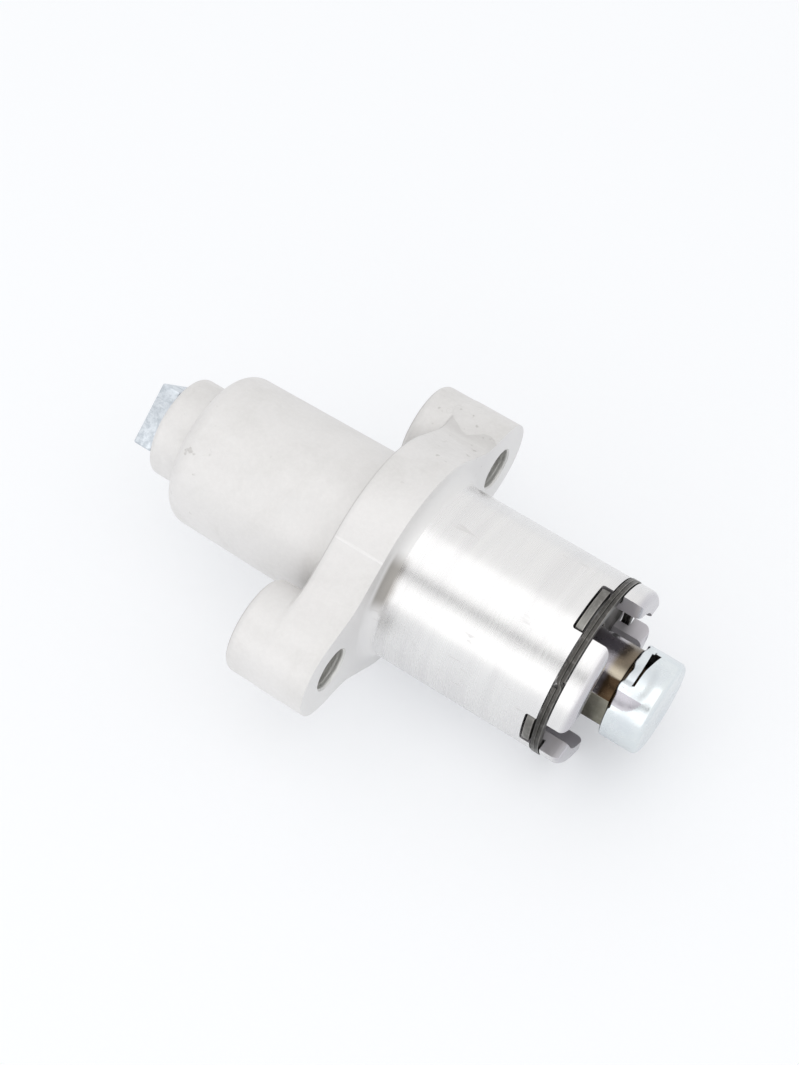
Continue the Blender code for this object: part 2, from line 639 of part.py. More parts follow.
def build_plunger_cap(parts, cutters, parent):
    """The drawn cup on the plunger's nose, crimped into the groove of the plunger."""
    inner_front = CAP_FRONT - CAP_FRONT_WALL
    levels = [CAP_FRONT - CAP_EDGE_ROUND - CAP_WALL, SLIT_CENTRE + CRIMP_FADE / 2,
              SLIT_CENTRE + SLIT_WIDTH / 4, SLIT_CENTRE - SLIT_WIDTH / 4,
              (SLIT_CENTRE + CAP_RIM) / 2, CAP_RIM]
    outer = [(CAP_RADIUS, z) for z in levels]
    inner = [(CAP_BORE_RADIUS, z) for z in reversed(levels)]
    edge = arc((CAP_RADIUS - CAP_EDGE_ROUND, CAP_FRONT - CAP_EDGE_ROUND),
               CAP_EDGE_ROUND, math.pi / 2, 0.0, 3)
    profile = [(0.0, CAP_FRONT), *edge, *outer, *inner, (CAP_BORE_RADIUS, inner_front), (0.0, inner_front)]
    cup = turned("plunger_cap", profile, parts, RING_STEPS)
    bpy.context.view_layer.update()
    mesh = bpy.data.meshes.new_from_object(cup.evaluated_get(bpy.context.evaluated_depsgraph_get()))
    bpy.data.objects.remove(cup, do_unlink=True)
    for vertex in mesh.vertices:
        x, y, z = vertex.co
        radius = math.hypot(x, y)
        if radius > CAP_BORE_RADIUS / 2:
            depth = crimp_depth(math.atan2(x, y), z)
            vertex.co = (x * (radius - depth) / radius, y * (radius - depth) / radius, z)
    cap = add_object("plunger_cap", mesh, parts)

    half = CAP_RADIUS * math.sin(SLIT_HALF_ANGLE)
    slit_outline = [
        (-half, SLIT_CENTRE - SLIT_WIDTH / 2),
        (half, SLIT_CENTRE - SLIT_OPENING / 2),
        (half, SLIT_CENTRE + SLIT_OPENING / 2),
        (-half, SLIT_CENTRE + SLIT_WIDTH / 2),
    ]
    slit = flat_piece("cap_slit", [slit_outline], 0.0, 2 * CAP_RADIUS, cutters)
    slit.matrix_world = Matrix.Rotation(math.pi / 2, 4, "X") @ Matrix.Translation((0, 0, -CAP_RADIUS))
    combine(cap, slit, "DIFFERENCE")
    dress(cap, (0.78, 0.82, 0.84), 0.3, 0.95)
    cap.parent = parent
    return cap


def build_screw_shaft(parts, cutters, parent):
    """The screw shaft, with its thrust collar, the notch for the spring and a driver slot."""
    c = PLUNGER_CHAMFER
    profile = [
        (0.0, JOURNAL_FRONT),
        (JOURNAL_RADIUS, JOURNAL_FRONT),
        (JOURNAL_RADIUS, COLLAR_FRONT),
        (COLLAR_RADIUS, COLLAR_FRONT),
        (COLLAR_RADIUS, COLLAR_REAR),
        (TAIL_RADIUS, COLLAR_REAR),
        (TAIL_RADIUS, TAIL_END + c),
        (TAIL_RADIUS - c, TAIL_END),
        (0.0, TAIL_END),
    ]
    shaft = turned("screw_shaft", profile, parts, SMALL_TURN_STEPS)
    thread = threaded_bar("shaft_thread", JOURNAL_FRONT - SINK, SCREW_FRONT, cutters)
    combine(shaft, thread, "UNION")
    notch_half = SPRING_WIRE_RADIUS + SEAT_GAP
    notch_bottom = COLLAR_RADIUS - 2 * notch_half
    notch = box("spring_notch", (notch_bottom, -notch_half, COLLAR_REAR - c),
                (COLLAR_RADIUS + c, notch_half, COLLAR_FRONT + c), cutters)
    combine(shaft, notch, "DIFFERENCE")
    driver = box("driver_slot", (-COLLAR_RADIUS, -DRIVER_SLOT_WIDTH / 2, TAIL_END - c),
                 (COLLAR_RADIUS, DRIVER_SLOT_WIDTH / 2, TAIL_END + DRIVER_SLOT_DEPTH), cutters)
    combine(shaft, driver, "DIFFERENCE")
    dress(shaft, (0.45, 0.44, 0.43), 0.35, 0.95)
    shaft.parent = parent
    return shaft


def build_torsion_spring(parts):
    """The torsion spring, hooked into the shaft's collar and into the groove of the housing."""
    quarter_turns = math.pi / 2
    whole_angle = 2 * math.pi * SPRING_TURNS + quarter_turns
    count = round(SPRING_POINTS_PER_TURN * whole_angle / (2 * math.pi))
    tang_inner = COLLAR_RADIUS - 2 * SPRING_WIRE_RADIUS - SEAT_GAP
    tang_outer = ANCHOR_GROOVE_BOTTOM - SEAT_GAP
    route = [(tang_inner, 0.0, SPRING_REAR)]
    for i in range(count + 1):
        share = i / count
        angle = whole_angle * share
        height = SPRING_REAR + (SPRING_FRONT - SPRING_REAR) * share
        route.append((SPRING_COIL_RADIUS * math.cos(angle), SPRING_COIL_RADIUS * math.sin(angle), height))
    route.append((0.0, tang_outer, SPRING_FRONT))
    curve = bpy.data.curves.new("torsion_spring", "CURVE")
    curve.dimensions = "3D"
    curve.bevel_depth = SPRING_WIRE_RADIUS
    curve.bevel_resolution = 2
    curve.use_fill_caps = True
    spline = curve.splines.new("POLY")
    spline.points.add(len(route) - 1)
    for point, place in zip(spline.points, route):
        point.co = (*place, 1.0)
    spring = add_object("torsion_spring", curve, parts)
    dress(spring, (0.30, 0.30, 0.31), 0.35, 0.95)
    return spring


def sleeve(name, inner, outer, low, high, parts):
    """A plain turned ring or tube."""
    profile = [(outer, high), (outer, low), (inner, low), (inner, high)]
    return turned(name, profile, parts, SMALL_TURN_STEPS)


def build_plug_bolt(parts, cutters):
    """The square-headed bolt that closes the driver's hole in the boss."""
    half = BOLT_HEAD_WIDTH / 2
    bolt = box("plug_bolt", (-half, -half, HEAD_END), (half, half, HEAD_FRONT), parts)
    bolt.rotation_euler.z = BOLT_HEAD_TURN
    edge = bolt.modifiers.new("head_edge", "BEVEL")
    edge.width = BOLT_EDGE_ROUND
    edge.segments = 2
    shank = turned("bolt_shank", [
        (0.0, BOLT_TIP),
        (BOLT_RADIUS - BOLT_TIP_CHAMFER, BOLT_TIP),
        (BOLT_RADIUS, BOLT_TIP - BOLT_TIP_CHAMFER),
        (BOLT_RADIUS, HEAD_FRONT - BOLT_HEAD_HEIGHT / 2),
        (0.0, HEAD_FRONT - BOLT_HEAD_HEIGHT / 2),
    ], cutters, SMALL_TURN_STEPS)
    combine(bolt, shank, "UNION")
    dress(bolt, (0.70, 0.74, 0.78), 0.35, 0.95)
    return bolt


def main():
    """Builds the tensioner in its design frame and lays it down in the world."""
    for obj in list(bpy.data.objects):
        bpy.data.objects.remove(obj, do_unlink=True)
    parts = new_collection("timing_chain_tensioner")
    cutters = new_collection("cutters")

    frame = add_object("design_frame", None, parts)
    plunger_slide = add_object("plunger_slide", None, parts)
    screw_spin = add_object("screw_spin", None, parts)

    build_housing(parts, cutters)
    build_guide_plate(parts)
    build_retaining_ring(parts)
    build_plunger(parts, cutters, plunger_slide)
    build_plunger_cap(parts, cutters, plunger_slide)
    build_screw_shaft(parts, cutters, screw_spin)
    build_torsion_spring(parts)
    build_plug_bolt(parts, cutters)
    spacer = sleeve("spacer_tube", SPACER_INNER_RADIUS, SPACER_INNER_RADIUS + SPACER_WALL,
                    SPACER_REAR, SPACER_FRONT, parts)
    dress(spacer, (0.50, 0.50, 0.50), 0.35, 0.95)
    seat = sleeve("thrust_seat", PILOT_RADIUS, SEAT_RADIUS, SEAT_REAR, SEAT_FRONT, parts)
    dress(seat, (0.35, 0.35, 0.36), 0.35, 0.95)
    washer = sleeve("sealing_washer", PLUG_HOLE_RADIUS, WASHER_RADIUS,
                    BOSS_END, BOSS_END + WASHER_THICKNESS, parts)
    dress(washer, (0.75, 0.75, 0.74), 0.35, 0.9)

    frame.rotation_euler = (math.pi / 2, 0.0, math.pi / 2)
    for obj in list(parts.objects) + list(cutters.objects):
        if obj is not frame and obj.parent is None:
            obj.parent = frame
    bpy.context.view_layer.update()


main()
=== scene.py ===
"""Dressed scene of a timing chain tensioner on a pale studio floor.

World axes: +X runs along the plunger towards its cap, +Y towards one ear and +Z is up. Sizes are
written in millimetres and turned into metres where a mesh is made.
"""

import functools
import logging
import math
from collections.abc import Callable, Sequence
from dataclasses import dataclass, field
from enum import Enum

import bmesh
import bpy
import numpy as np
from mathutils import Matrix, Vector


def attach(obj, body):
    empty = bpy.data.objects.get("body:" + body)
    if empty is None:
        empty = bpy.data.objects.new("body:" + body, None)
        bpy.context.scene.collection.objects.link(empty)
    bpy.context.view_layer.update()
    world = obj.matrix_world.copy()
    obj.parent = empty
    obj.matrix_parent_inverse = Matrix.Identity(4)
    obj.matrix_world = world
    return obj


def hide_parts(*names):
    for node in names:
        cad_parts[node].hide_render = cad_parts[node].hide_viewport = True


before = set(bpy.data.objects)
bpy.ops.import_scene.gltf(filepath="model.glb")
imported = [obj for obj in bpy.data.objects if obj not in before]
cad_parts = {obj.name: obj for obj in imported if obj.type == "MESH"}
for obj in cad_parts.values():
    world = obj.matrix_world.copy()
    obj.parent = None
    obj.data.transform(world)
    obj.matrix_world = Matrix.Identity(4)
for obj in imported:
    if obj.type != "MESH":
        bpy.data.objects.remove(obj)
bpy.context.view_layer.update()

MM = 0.001
LOG = logging.getLogger("tensioner")
Array = np.ndarray
Object = bpy.types.Object
Socket = bpy.types.NodeSocket
Point = tuple[float, float]


class Body(Enum):
    """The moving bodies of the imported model."""

    HOUSING = "housing"
    PLUNGER = "plunger"
    SCREW = "screw"


class Slot(Enum):
    """The record's material slots."""

    CAST = "cast_aluminium"
    PLATE = "dark_plate"
    RING = "ring_steel"
    PHOSPHATE = "phosphated_steel"
    ZINC = "zinc_plate"
    GROUND = "ground_steel"
    WIRE = "spring_wire"
    SOFT = "soft_aluminium"


def direction(angle: float, along: float = 0.0) -> Vector:
    """Unit vector at an angle from up towards -Y, leaning along the axis.

    Args:
        angle: Angle from +Z towards -Y, in degrees.
        along: Share along +X.

    Returns:
        The unit vector.
    """
    turn = math.radians(angle)
    return Vector((along, -math.sin(turn), math.cos(turn))).normalized()


def ease(value: Array | float) -> Array:
    """Eases a value between 0 and 1."""
    t = np.clip(value, 0.0, 1.0)
    return t * t * (3.0 - 2.0 * t)


def mesh_object(name: str, verts: Sequence, faces: Sequence) -> Object:
    """Makes an object from points in millimetres.

    Args:
        name: Name of the object and its mesh.
        verts: Points in millimetres.
        faces: Faces as rows of point numbers.

    Returns:
        The new object, linked to the scene, with its faces pointing outwards.
    """
    mesh = bpy.data.meshes.new(name)
    mesh.from_pydata((np.asarray(verts, float) * MM).tolist(), [], [list(map(int, f)) for f in faces])
    bm = bmesh.new()
    bm.from_mesh(mesh)
    bmesh.ops.recalc_face_normals(bm, faces=bm.faces)
    if bm.calc_volume(signed=True) < 0:
        bmesh.ops.reverse_faces(bm, faces=bm.faces)
    bm.to_mesh(mesh)
    bm.free()
    obj = bpy.data.objects.new(name, mesh)
    bpy.context.scene.collection.objects.link(obj)
    return obj


def rounded(points: Sequence[tuple[float, float, float]], steps: int = 6, longest: float = 2.0) -> list[Point]:
    """Rounds the corners of an open line and splits its long stretches.

    Args:
        points: Rows of (place, radius, corner round) in millimetres.
        steps: Steps in each rounded corner.
        longest: Longest stretch left whole, in millimetres.

    Returns:
        The line as (place, radius) points.
    """
    line: list[Vector] = []
    for i, (x, r, corner) in enumerate(points):
        here = Vector((x, r))
        if corner <= 0 or i in (0, len(points) - 1):
            line.append(here)
            continue
        back = (Vector(points[i - 1][:2]) - here).normalized()
        on = (Vector(points[i + 1][:2]) - here).normalized()
        half = back.angle(on) / 2
        centre = here + (back + on).normalized() * (corner / math.sin(half))
        start = here + back * (corner / math.tan(half)) - centre
        end = here + on * (corner / math.tan(half)) - centre
        sweep = start.angle_signed(end)
        line += [centre + Matrix.Rotation(-sweep * k / steps, 2) @ start for k in range(steps + 1)]
    out = [tuple(line[0])]
    for a, b in zip(line, line[1:]):
        parts = max(1, math.ceil((b - a).length / longest))
        out += [tuple(a.lerp(b, k / parts)) for k in range(1, parts + 1)]
    return out


def revolve(name: str, profile: Sequence[Point], steps: int, closed: bool = False,
            centre: Point = (0.0, 0.0)) -> Object:
    """Turns a profile about a line along X.

    Args:
        name: Name of the object.
        profile: (place, radius) points in millimetres, ending on the axis unless closed.
        steps: Steps round the turn.
        closed: Whether the last point joins the first, which makes a ring.
        centre: (y, z) of the line in millimetres.

    Returns:
        The turned object.
    """
    angles = np.linspace(0, 2 * np.pi, steps, endpoint=False)
    verts, rings = [], []
    for x, r in profile:
        if r < 1e-6:
            rings.append([len(verts)] * steps)
            verts.append((x, centre[0], centre[1]))
        else:
            rings.append(range(len(verts), len(verts) + steps))
            verts += [(x, centre[0] - r * math.sin(a), centre[1] + r * math.cos(a)) for a in angles]
    pairs = list(zip(rings, rings[1:])) + ([(rings[-1], rings[0])] if closed else [])
    faces = []
    for low, high in pairs:
        for i in range(steps):
            j = (i + 1) % steps
            corners = list(dict.fromkeys((low[i], low[j], high[j], high[i])))
            if len(corners) > 2:
                faces.append(corners)
    return mesh_object(name, verts, faces)


def prism(name: str, outline: Sequence[Point], low: float, high: float, axis: str) -> Object:
    """Extrudes an outline along Y or Z, or along X.

    Args:
        name: Name of the object.
        outline: Points in millimetres: (x, y) for axis Z, (x, z) for axis Y, (y, z) for axis X.
        low: Start along the axis in millimetres.
        high: End along the axis in millimetres.
        axis: X, Y or Z.

    Returns:
        The extruded object.
    """
    def place(u: float, v: float, w: float) -> tuple[float, float, float]:
        """Puts outline and axis coordinates in world order."""
        return {"X": (w, u, v), "Y": (u, w, v), "Z": (u, v, w)}[axis]

    n = len(outline)
    verts = [place(u, v, w) for w in (low, high) for u, v in outline]
    sides = [(i, (i + 1) % n, n + (i + 1) % n, n + i) for i in range(n)]
    return mesh_object(name, verts, [*sides, range(n), range(n, 2 * n)])


def settle(obj: Object) -> None:
    """Makes an object's modifiers part of its mesh."""
    bpy.context.view_layer.update()
    mesh = bpy.data.meshes.new_from_object(obj.evaluated_get(bpy.context.evaluated_depsgraph_get()))
    obj.modifiers.clear()
    obj.data = mesh


def carve(obj: Object, tool: Object, operation: str = "DIFFERENCE") -> None:
    """Cuts, joins or trims an object by another, which is used up.

    Args:
        obj: The object that stays.
        tool: The object that is used up.
        operation: DIFFERENCE, UNION or INTERSECT.
    """
    modifier = obj.modifiers.new("carve", "BOOLEAN")
    modifier.operation = operation
    modifier.object = tool
    modifier.solver = "MANIFOLD"
    settle(obj)
    bpy.data.objects.remove(tool, do_unlink=True)


def round_edges(obj: Object, width: float, segments: int = 2, limit: float = 40.0, slot: int = -1) -> None:
    """Rounds an object's sharp edges.

    Args:
        obj: The object.
        width: Width of the round in millimetres.
        segments: Segments of the round.
        limit: Smallest angle that counts as sharp, in degrees.
        slot: Material slot of the rounds, or -1 for that of their neighbours.
    """
    modifier = obj.modifiers.new("round", "BEVEL")
    modifier.width = width * MM
    modifier.segments = segments
    modifier.limit_method = "ANGLE"
    modifier.angle_limit = math.radians(limit)
    modifier.material = slot
    modifier.harden_normals = False
    settle(obj)


def smooth_shade(obj: Object, limit: float = 32.0) -> None:
    """Shades an object smoothly up to a sharp angle in degrees."""
    obj.data.shade_smooth()
    obj.data.set_sharp_from_angle(angle=math.radians(limit))


def corner_values(mesh: bpy.types.Mesh) -> tuple[Array, Array]:
    """Place in millimetres and normal of every face corner of a mesh."""
    points = np.empty(len(mesh.vertices) * 3, np.float32)
    mesh.vertices.foreach_get("co", points)
    owners = np.empty(len(mesh.loops), np.int32)
    mesh.loops.foreach_get("vertex_index", owners)
    normals = np.empty(len(mesh.loops) * 3, np.float32)
    mesh.corner_normals.foreach_get("vector", normals)
    return points.reshape(-1, 3)[owners].astype(float) / MM, normals.reshape(-1, 3).astype(float)


def face_values(mesh: bpy.types.Mesh) -> tuple[Array, Array]:
    """Centre in millimetres and normal of every face of a mesh."""
    centres = np.empty(len(mesh.polygons) * 3, np.float32)
    normals = np.empty(len(mesh.polygons) * 3, np.float32)
    mesh.polygons.foreach_get("center", centres)
    mesh.polygons.foreach_get("normal", normals)
    return centres.reshape(-1, 3).astype(float) / MM, normals.reshape(-1, 3).astype(float)


def join_round(a: Array, b: Array, size: float) -> Array:
    """Distance to two joined shapes with a hollow round between them."""
    u, v = np.maximum(size - a, 0), np.maximum(size - b, 0)
    return np.maximum(size, np.minimum(a, b)) - np.sqrt(u * u + v * v)


def meet_round(a: Array, b: Array, size: float) -> Array:
    """Distance to the common part of two shapes, with its edge rounded."""
    u, v = np.maximum(size + a, 0), np.maximum(size + b, 0)
    return np.minimum(-size, np.maximum(a, b)) + np.sqrt(u * u + v * v)


@dataclass
class SurfaceNet:
    """Turns a distance field into a mesh of even quads that lie on its surface.

    Attributes:
        distance: Gives the distance at points (x, y, z) in millimetres.
        low: Lowest corner of the sampled block.
        high: Highest corner of the sampled block.
        step: Size of a cell.
    """

    distance: Callable[[Array, Array, Array], Array]
    low: tuple[float, float, float]
    high: tuple[float, float, float]
    step: float

    def slope(self, points: Array) -> Array:
        """Gradient of the distance at rows of points."""
        out = np.empty_like(points)
        for axis in range(3):
            side = np.zeros(3)
            side[axis] = 0.02
            out[:, axis] = (self.distance(*(points + side).T) - self.distance(*(points - side).T)) / 0.04
        return out

    def project(self, points: Array) -> Array:
        """Moves rows of points onto the surface."""
        for _ in range(3):
            slope = self.slope(points)
            share = self.distance(*points.T) / np.maximum((slope ** 2).sum(1), 0.2)
            points = points - slope * np.clip(share, -self.step, self.step)[:, None]
        return points

    def build(self, name: str) -> Object:
        """Builds the mesh.

        Args:
            name: Name of the object.

        Returns:
            The object.
        """
        axes = [np.arange(a, b + self.step, self.step) for a, b in zip(self.low, self.high)]
        inside = self.distance(*np.meshgrid(*axes, indexing="ij")) < 0
        corners = sum(inside[i:i - 1 or None, j:j - 1 or None, k:k - 1 or None].astype(np.int8)
                      for i in (0, 1) for j in (0, 1) for k in (0, 1))
        active = (corners > 0) & (corners < 8)
        number = np.full(active.shape, -1)
        number[active] = np.arange(active.sum())
        cells = np.argwhere(active)
        points = np.stack([axes[d][cells[:, d]] + self.step / 2 for d in range(3)], 1)
        quads = []
        for axis in range(3):
            a, b = [d for d in range(3) if d != axis]
            grid = np.moveaxis(inside, (axis, a, b), (0, 1, 2))
            cell = np.moveaxis(number, (axis, a, b), (0, 1, 2))
            changed = (grid[1:] != grid[:-1])[:, 1:-1, 1:-1]
            i, j, k = np.nonzero(changed)
            quads.append(np.stack([cell[i, j, k], cell[i, j + 1, k], cell[i, j + 1, k + 1], cell[i, j, k + 1]], 1))
        faces = np.concatenate(quads)
        points = self.project(points)
        ends = np.concatenate([faces[:, [0, 1]], faces[:, [1, 2]], faces[:, [2, 3]], faces[:, [3, 0]]])
        ends = np.concatenate([ends, ends[:, ::-1]])
        count = np.maximum(np.bincount(ends[:, 0], minlength=len(points)), 1)
        for _ in range(3):
            mean = np.stack([np.bincount(ends[:, 0], points[ends[:, 1], d], len(points)) for d in range(3)], 1)
            points = self.project(points * 0.4 + mean / count[:, None] * 0.6)
        return mesh_object(name, points, faces)


@dataclass
class Graph:
    """Adds nodes to a tree and joins them, with the joined socket as the result.

    Attributes:
        tree: The node tree that is being filled.
    """

    tree: bpy.types.NodeTree

    def node(self, kind: str, inputs: dict | None = None, **settings: object) -> bpy.types.Node:
        """Adds a node.

        Args:
            kind: Node type without its leading ShaderNode.
            inputs: Values or sockets by input name or number.
            settings: Attributes of the node.

        Returns:
            The node.
        """
        node = self.tree.nodes.new("ShaderNode" + kind)
        for key, value in settings.items():
            setattr(node, key, value)
        for key, value in (inputs or {}).items():
            self.feed(node.inputs[key], value)
        return node

    def feed(self, socket: Socket, value: object) -> None:
        """Joins a socket to another, or sets its value."""
        if isinstance(value, bpy.types.NodeSocket):
            self.tree.links.new(value, socket)
        else:
            socket.default_value = value

    def math(self, operation: str, a: object, b: object = 0.0, c: object = 0.0, clamp: bool = False) -> Socket:
        """Adds a Math node on up to three values or sockets."""
        node = self.node("Math", {0: a, 1: b, 2: c}, operation=operation, use_clamp=clamp)
        return node.outputs[0]

    def span(self, value: Socket, low: float, high: float, to_low: float = 0.0, to_high: float = 1.0) -> Socket:
        """Maps a value smoothly from one range to another, clamped."""
        node = self.node("MapRange", {"Value": value, "From Min": low, "From Max": high,
                                      "To Min": to_low, "To Max": to_high})
        node.interpolation_type = "SMOOTHSTEP"
        return node.outputs[0]

    def blend(self, share: object, a: object, b: object, mode: str = "MIX") -> Socket:
        """Mixes two colours by a share."""
        node = self.node("Mix", data_type="RGBA", blend_type=mode)
        self.feed(node.inputs[0], share)
        self.feed(node.inputs[6], a)
        self.feed(node.inputs[7], b)
        return node.outputs[2]

    def noise(self, vector: Socket, scale: object, detail: float = 4.0, roughness: float = 0.5,
              distortion: float = 0.0) -> Socket:
        """Adds a noise value over a vector, with its scale in waves per metre."""
        node = self.node("TexNoise", {"Vector": vector, "Scale": scale, "Detail": detail,
                                      "Roughness": roughness, "Distortion": distortion})
        return node.outputs[0]

    def stretched(self, vector: Socket, scale: tuple[float, float, float]) -> Socket:
        """Scales a vector differently along its axes."""
        return self.node("VectorMath", {0: vector, 1: scale}, operation="MULTIPLY").outputs[0]


@dataclass
class Effect:
    """A shader node group with named inputs and outputs, made once.

    Attributes:
        name: Name of the group.
        inputs: (name, kind, default) of each input, kind being Float, Vector or Color.
        outputs: (name, kind) of each output.
        fill: Fills the group from a Graph and its input sockets, and returns its output sockets.
    """

    name: str
    inputs: list[tuple[str, str, object]]
    outputs: list[tuple[str, str]]
    fill: Callable[[Graph, dict[str, Socket]], dict[str, Socket]]

    def group(self) -> bpy.types.NodeTree:
        """Returns the node group, which the first call makes."""
        found = bpy.data.node_groups.get(self.name)
        if found:
            return found
        tree = bpy.data.node_groups.new(self.name, "ShaderNodeTree")
        for name, kind, default in self.inputs:
            socket = tree.interface.new_socket(name, in_out="INPUT", socket_type="NodeSocket" + kind)
            if default is not None:
                socket.default_value = default
        for name, kind in self.outputs:
            tree.interface.new_socket(name, in_out="OUTPUT", socket_type="NodeSocket" + kind)
        graph = Graph(tree)
        entry = tree.nodes.new("NodeGroupInput")
        leave = tree.nodes.new("NodeGroupOutput")
        made = self.fill(graph, {socket.name: socket for socket in entry.outputs if socket.name})
        for name, socket in made.items():
            graph.feed(leave.inputs[name], socket)
        return tree

    def use(self, graph: Graph, **values: object) -> bpy.types.bpy_prop_collection:
        """Places the group in a material.

        Args:
            graph: The material's graph.
            values: Input values or sockets, with _ for a space in the name.

        Returns:
            The outputs of the group's node.
        """
        node = graph.node("Group", node_tree=self.group())
        for key, value in values.items():
            graph.feed(node.inputs[key.replace("_", " ")], value)
        return node.outputs


def fill_cast_skin(g: Graph, i: dict[str, Socket]) -> dict[str, Socket]:
    """Blasted die-cast skin: fine grain, soft lumps, stains, pits and thin flow lines."""
    spot = i["Place"]
    fine = g.noise(spot, g.math("MULTIPLY", i["Grain"], 1.0), 3.0, 0.7)
    lump = g.noise(spot, 260.0, 3.0, 0.55)
    stain = g.span(g.noise(spot, 85.0, 5.0, 0.62, 0.6), 0.38, 0.68)
    cloud = g.span(g.noise(spot, 34.0, 2.0, 0.5), 0.4, 0.66)
    pit_noise = g.noise(spot, 620.0, 2.0, 0.5)
    pit = g.math("MULTIPLY", g.span(pit_noise, 0.67, 0.73), g.span(g.noise(spot, 60.0, 1.0), 0.48, 0.6))
    wander = g.math("ABSOLUTE", g.math("SUBTRACT", g.noise(spot, 75.0, 3.0, 0.5, 0.8), 0.5))
    flow = g.math("MULTIPLY", g.span(wander, 0.0, 0.006, 1.0, 0.0), g.span(g.noise(spot, 48.0, 1.0), 0.54, 0.62))
    height = g.math("MULTIPLY_ADD", lump, 0.9, g.math("MULTIPLY", fine, 0.35))
    height = g.math("SUBTRACT", height, g.math("MULTIPLY", pit, 0.8))
    height = g.math("SUBTRACT", height, g.math("MULTIPLY", flow, 0.35))
    marks = g.math("MAXIMUM", pit, g.math("MULTIPLY", flow, 0.2))
    tone = g.math("MULTIPLY_ADD", stain, 0.6, g.math("MULTIPLY", cloud, 0.4))
    return {"Height": height, "Stain": tone, "Marks": marks, "Fine": fine}


def fill_turning(g: Graph, i: dict[str, Socket]) -> dict[str, Socket]:
    """Fine rings left by a turning tool, with streaks round the part and a few scuffs."""
    spot = i["Place"]
    part = g.node("SeparateXYZ", {0: spot}).outputs
    along = g.math("MULTIPLY_ADD", g.noise(spot, 40.0, 1.0), 0.00004, part[0])
    ring = g.math("SINE", g.math("MULTIPLY", along, g.math("DIVIDE", 6.2832, i["Pitch"])))
    band = g.noise(g.stretched(spot, (1.0, 0.04, 0.04)), 2600.0, 3.0, 0.7)
    broad = g.noise(g.stretched(spot, (1.0, 0.1, 0.1)), 420.0, 2.0, 0.6)
    scuff_noise = g.noise(g.stretched(spot, (0.25, 1.0, 1.0)), 900.0, 3.0, 0.6, 0.4)
    scuff = g.math("MULTIPLY", g.span(scuff_noise, 0.62, 0.72), g.span(g.noise(spot, 90.0, 2.0), 0.48, 0.62))
    height = g.math("MULTIPLY_ADD", ring, 0.25, g.math("MULTIPLY", band, 0.8))
    return {"Height": height, "Streak": band, "Broad": broad, "Scuff": scuff}


def fill_steel_wear(g: Graph, i: dict[str, Socket]) -> dict[str, Socket]:
    """Worn steel: cloudy colour, rubbed spots and fine handling scratches."""
    spot = i["Place"]
    cloud = g.span(g.noise(spot, i["Cloud"], 4.0, 0.6, 0.3), 0.36, 0.68)
    rub = g.span(g.noise(spot, g.math("MULTIPLY", i["Cloud"], 5.0), 5.0, 0.7), 0.52, 0.68)
    lines = g.noise(g.stretched(spot, (0.12, 1.0, 1.0)), 3200.0, 2.0, 0.6)
    cross = g.noise(g.stretched(spot, (1.0, 0.15, 0.3)), 2700.0, 2.0, 0.6)
    scratch = g.math("MAXIMUM", g.span(lines, 0.63, 0.7), g.span(cross, 0.65, 0.72))
    grain = g.noise(spot, 5200.0, 2.0, 0.6)
    height = g.math("SUBTRACT", g.math("MULTIPLY", grain, 0.5), g.math("MULTIPLY", scratch, 0.5))
    return {"Cloud": cloud, "Rub": rub, "Scratch": scratch, "Height": height}


CAST_SKIN = Effect("cast_skin", [("Place", "Vector", None), ("Grain", "Float", 1500.0)],
                   [("Height", "Float"), ("Stain", "Float"), ("Marks", "Float"), ("Fine", "Float")], fill_cast_skin)
TURNING = Effect("turning_lines", [("Place", "Vector", None), ("Pitch", "Float", 0.00016)],
                 [("Height", "Float"), ("Streak", "Float"), ("Broad", "Float"), ("Scuff", "Float")], fill_turning)
STEEL_WEAR = Effect("steel_wear", [("Place", "Vector", None), ("Cloud", "Float", 180.0)],
                    [("Cloud", "Float"), ("Rub", "Float"), ("Scratch", "Float"), ("Height", "Float")], fill_steel_wear)

Colour = tuple[float, float, float]


def rgba(colour: Colour) -> tuple[float, float, float, float]:
    """Adds an alpha of 1 to a colour."""
    return (*colour, 1.0)


@dataclass(frozen=True)
class Finish:
    """What every finish shares: a material with one Principled shader and the object's own places."""

    name: str

    def start(self) -> tuple[bpy.types.Material, Graph, bpy.types.Node, Socket]:
        """Makes the material.

        Returns:
            The material, its graph, its shader and the socket of the object's coordinates.
        """
        material = bpy.data.materials.new(self.name)
        material.use_nodes = True
        graph = Graph(material.node_tree)
        shader = material.node_tree.nodes["Principled BSDF"]
        place = graph.node("TexCoord").outputs["Object"]
        return material, graph, shader, place

    def bump(self, graph: Graph, shader: bpy.types.Node, height: Socket, depth: float, strength: float = 1.0) -> None:
        """Feeds a height to the shader's normal through a Bump node, with its depth in metres."""
        node = graph.node("Bump", {"Height": height, "Distance": depth, "Strength": strength})
        graph.feed(shader.inputs["Normal"], node.outputs[0])


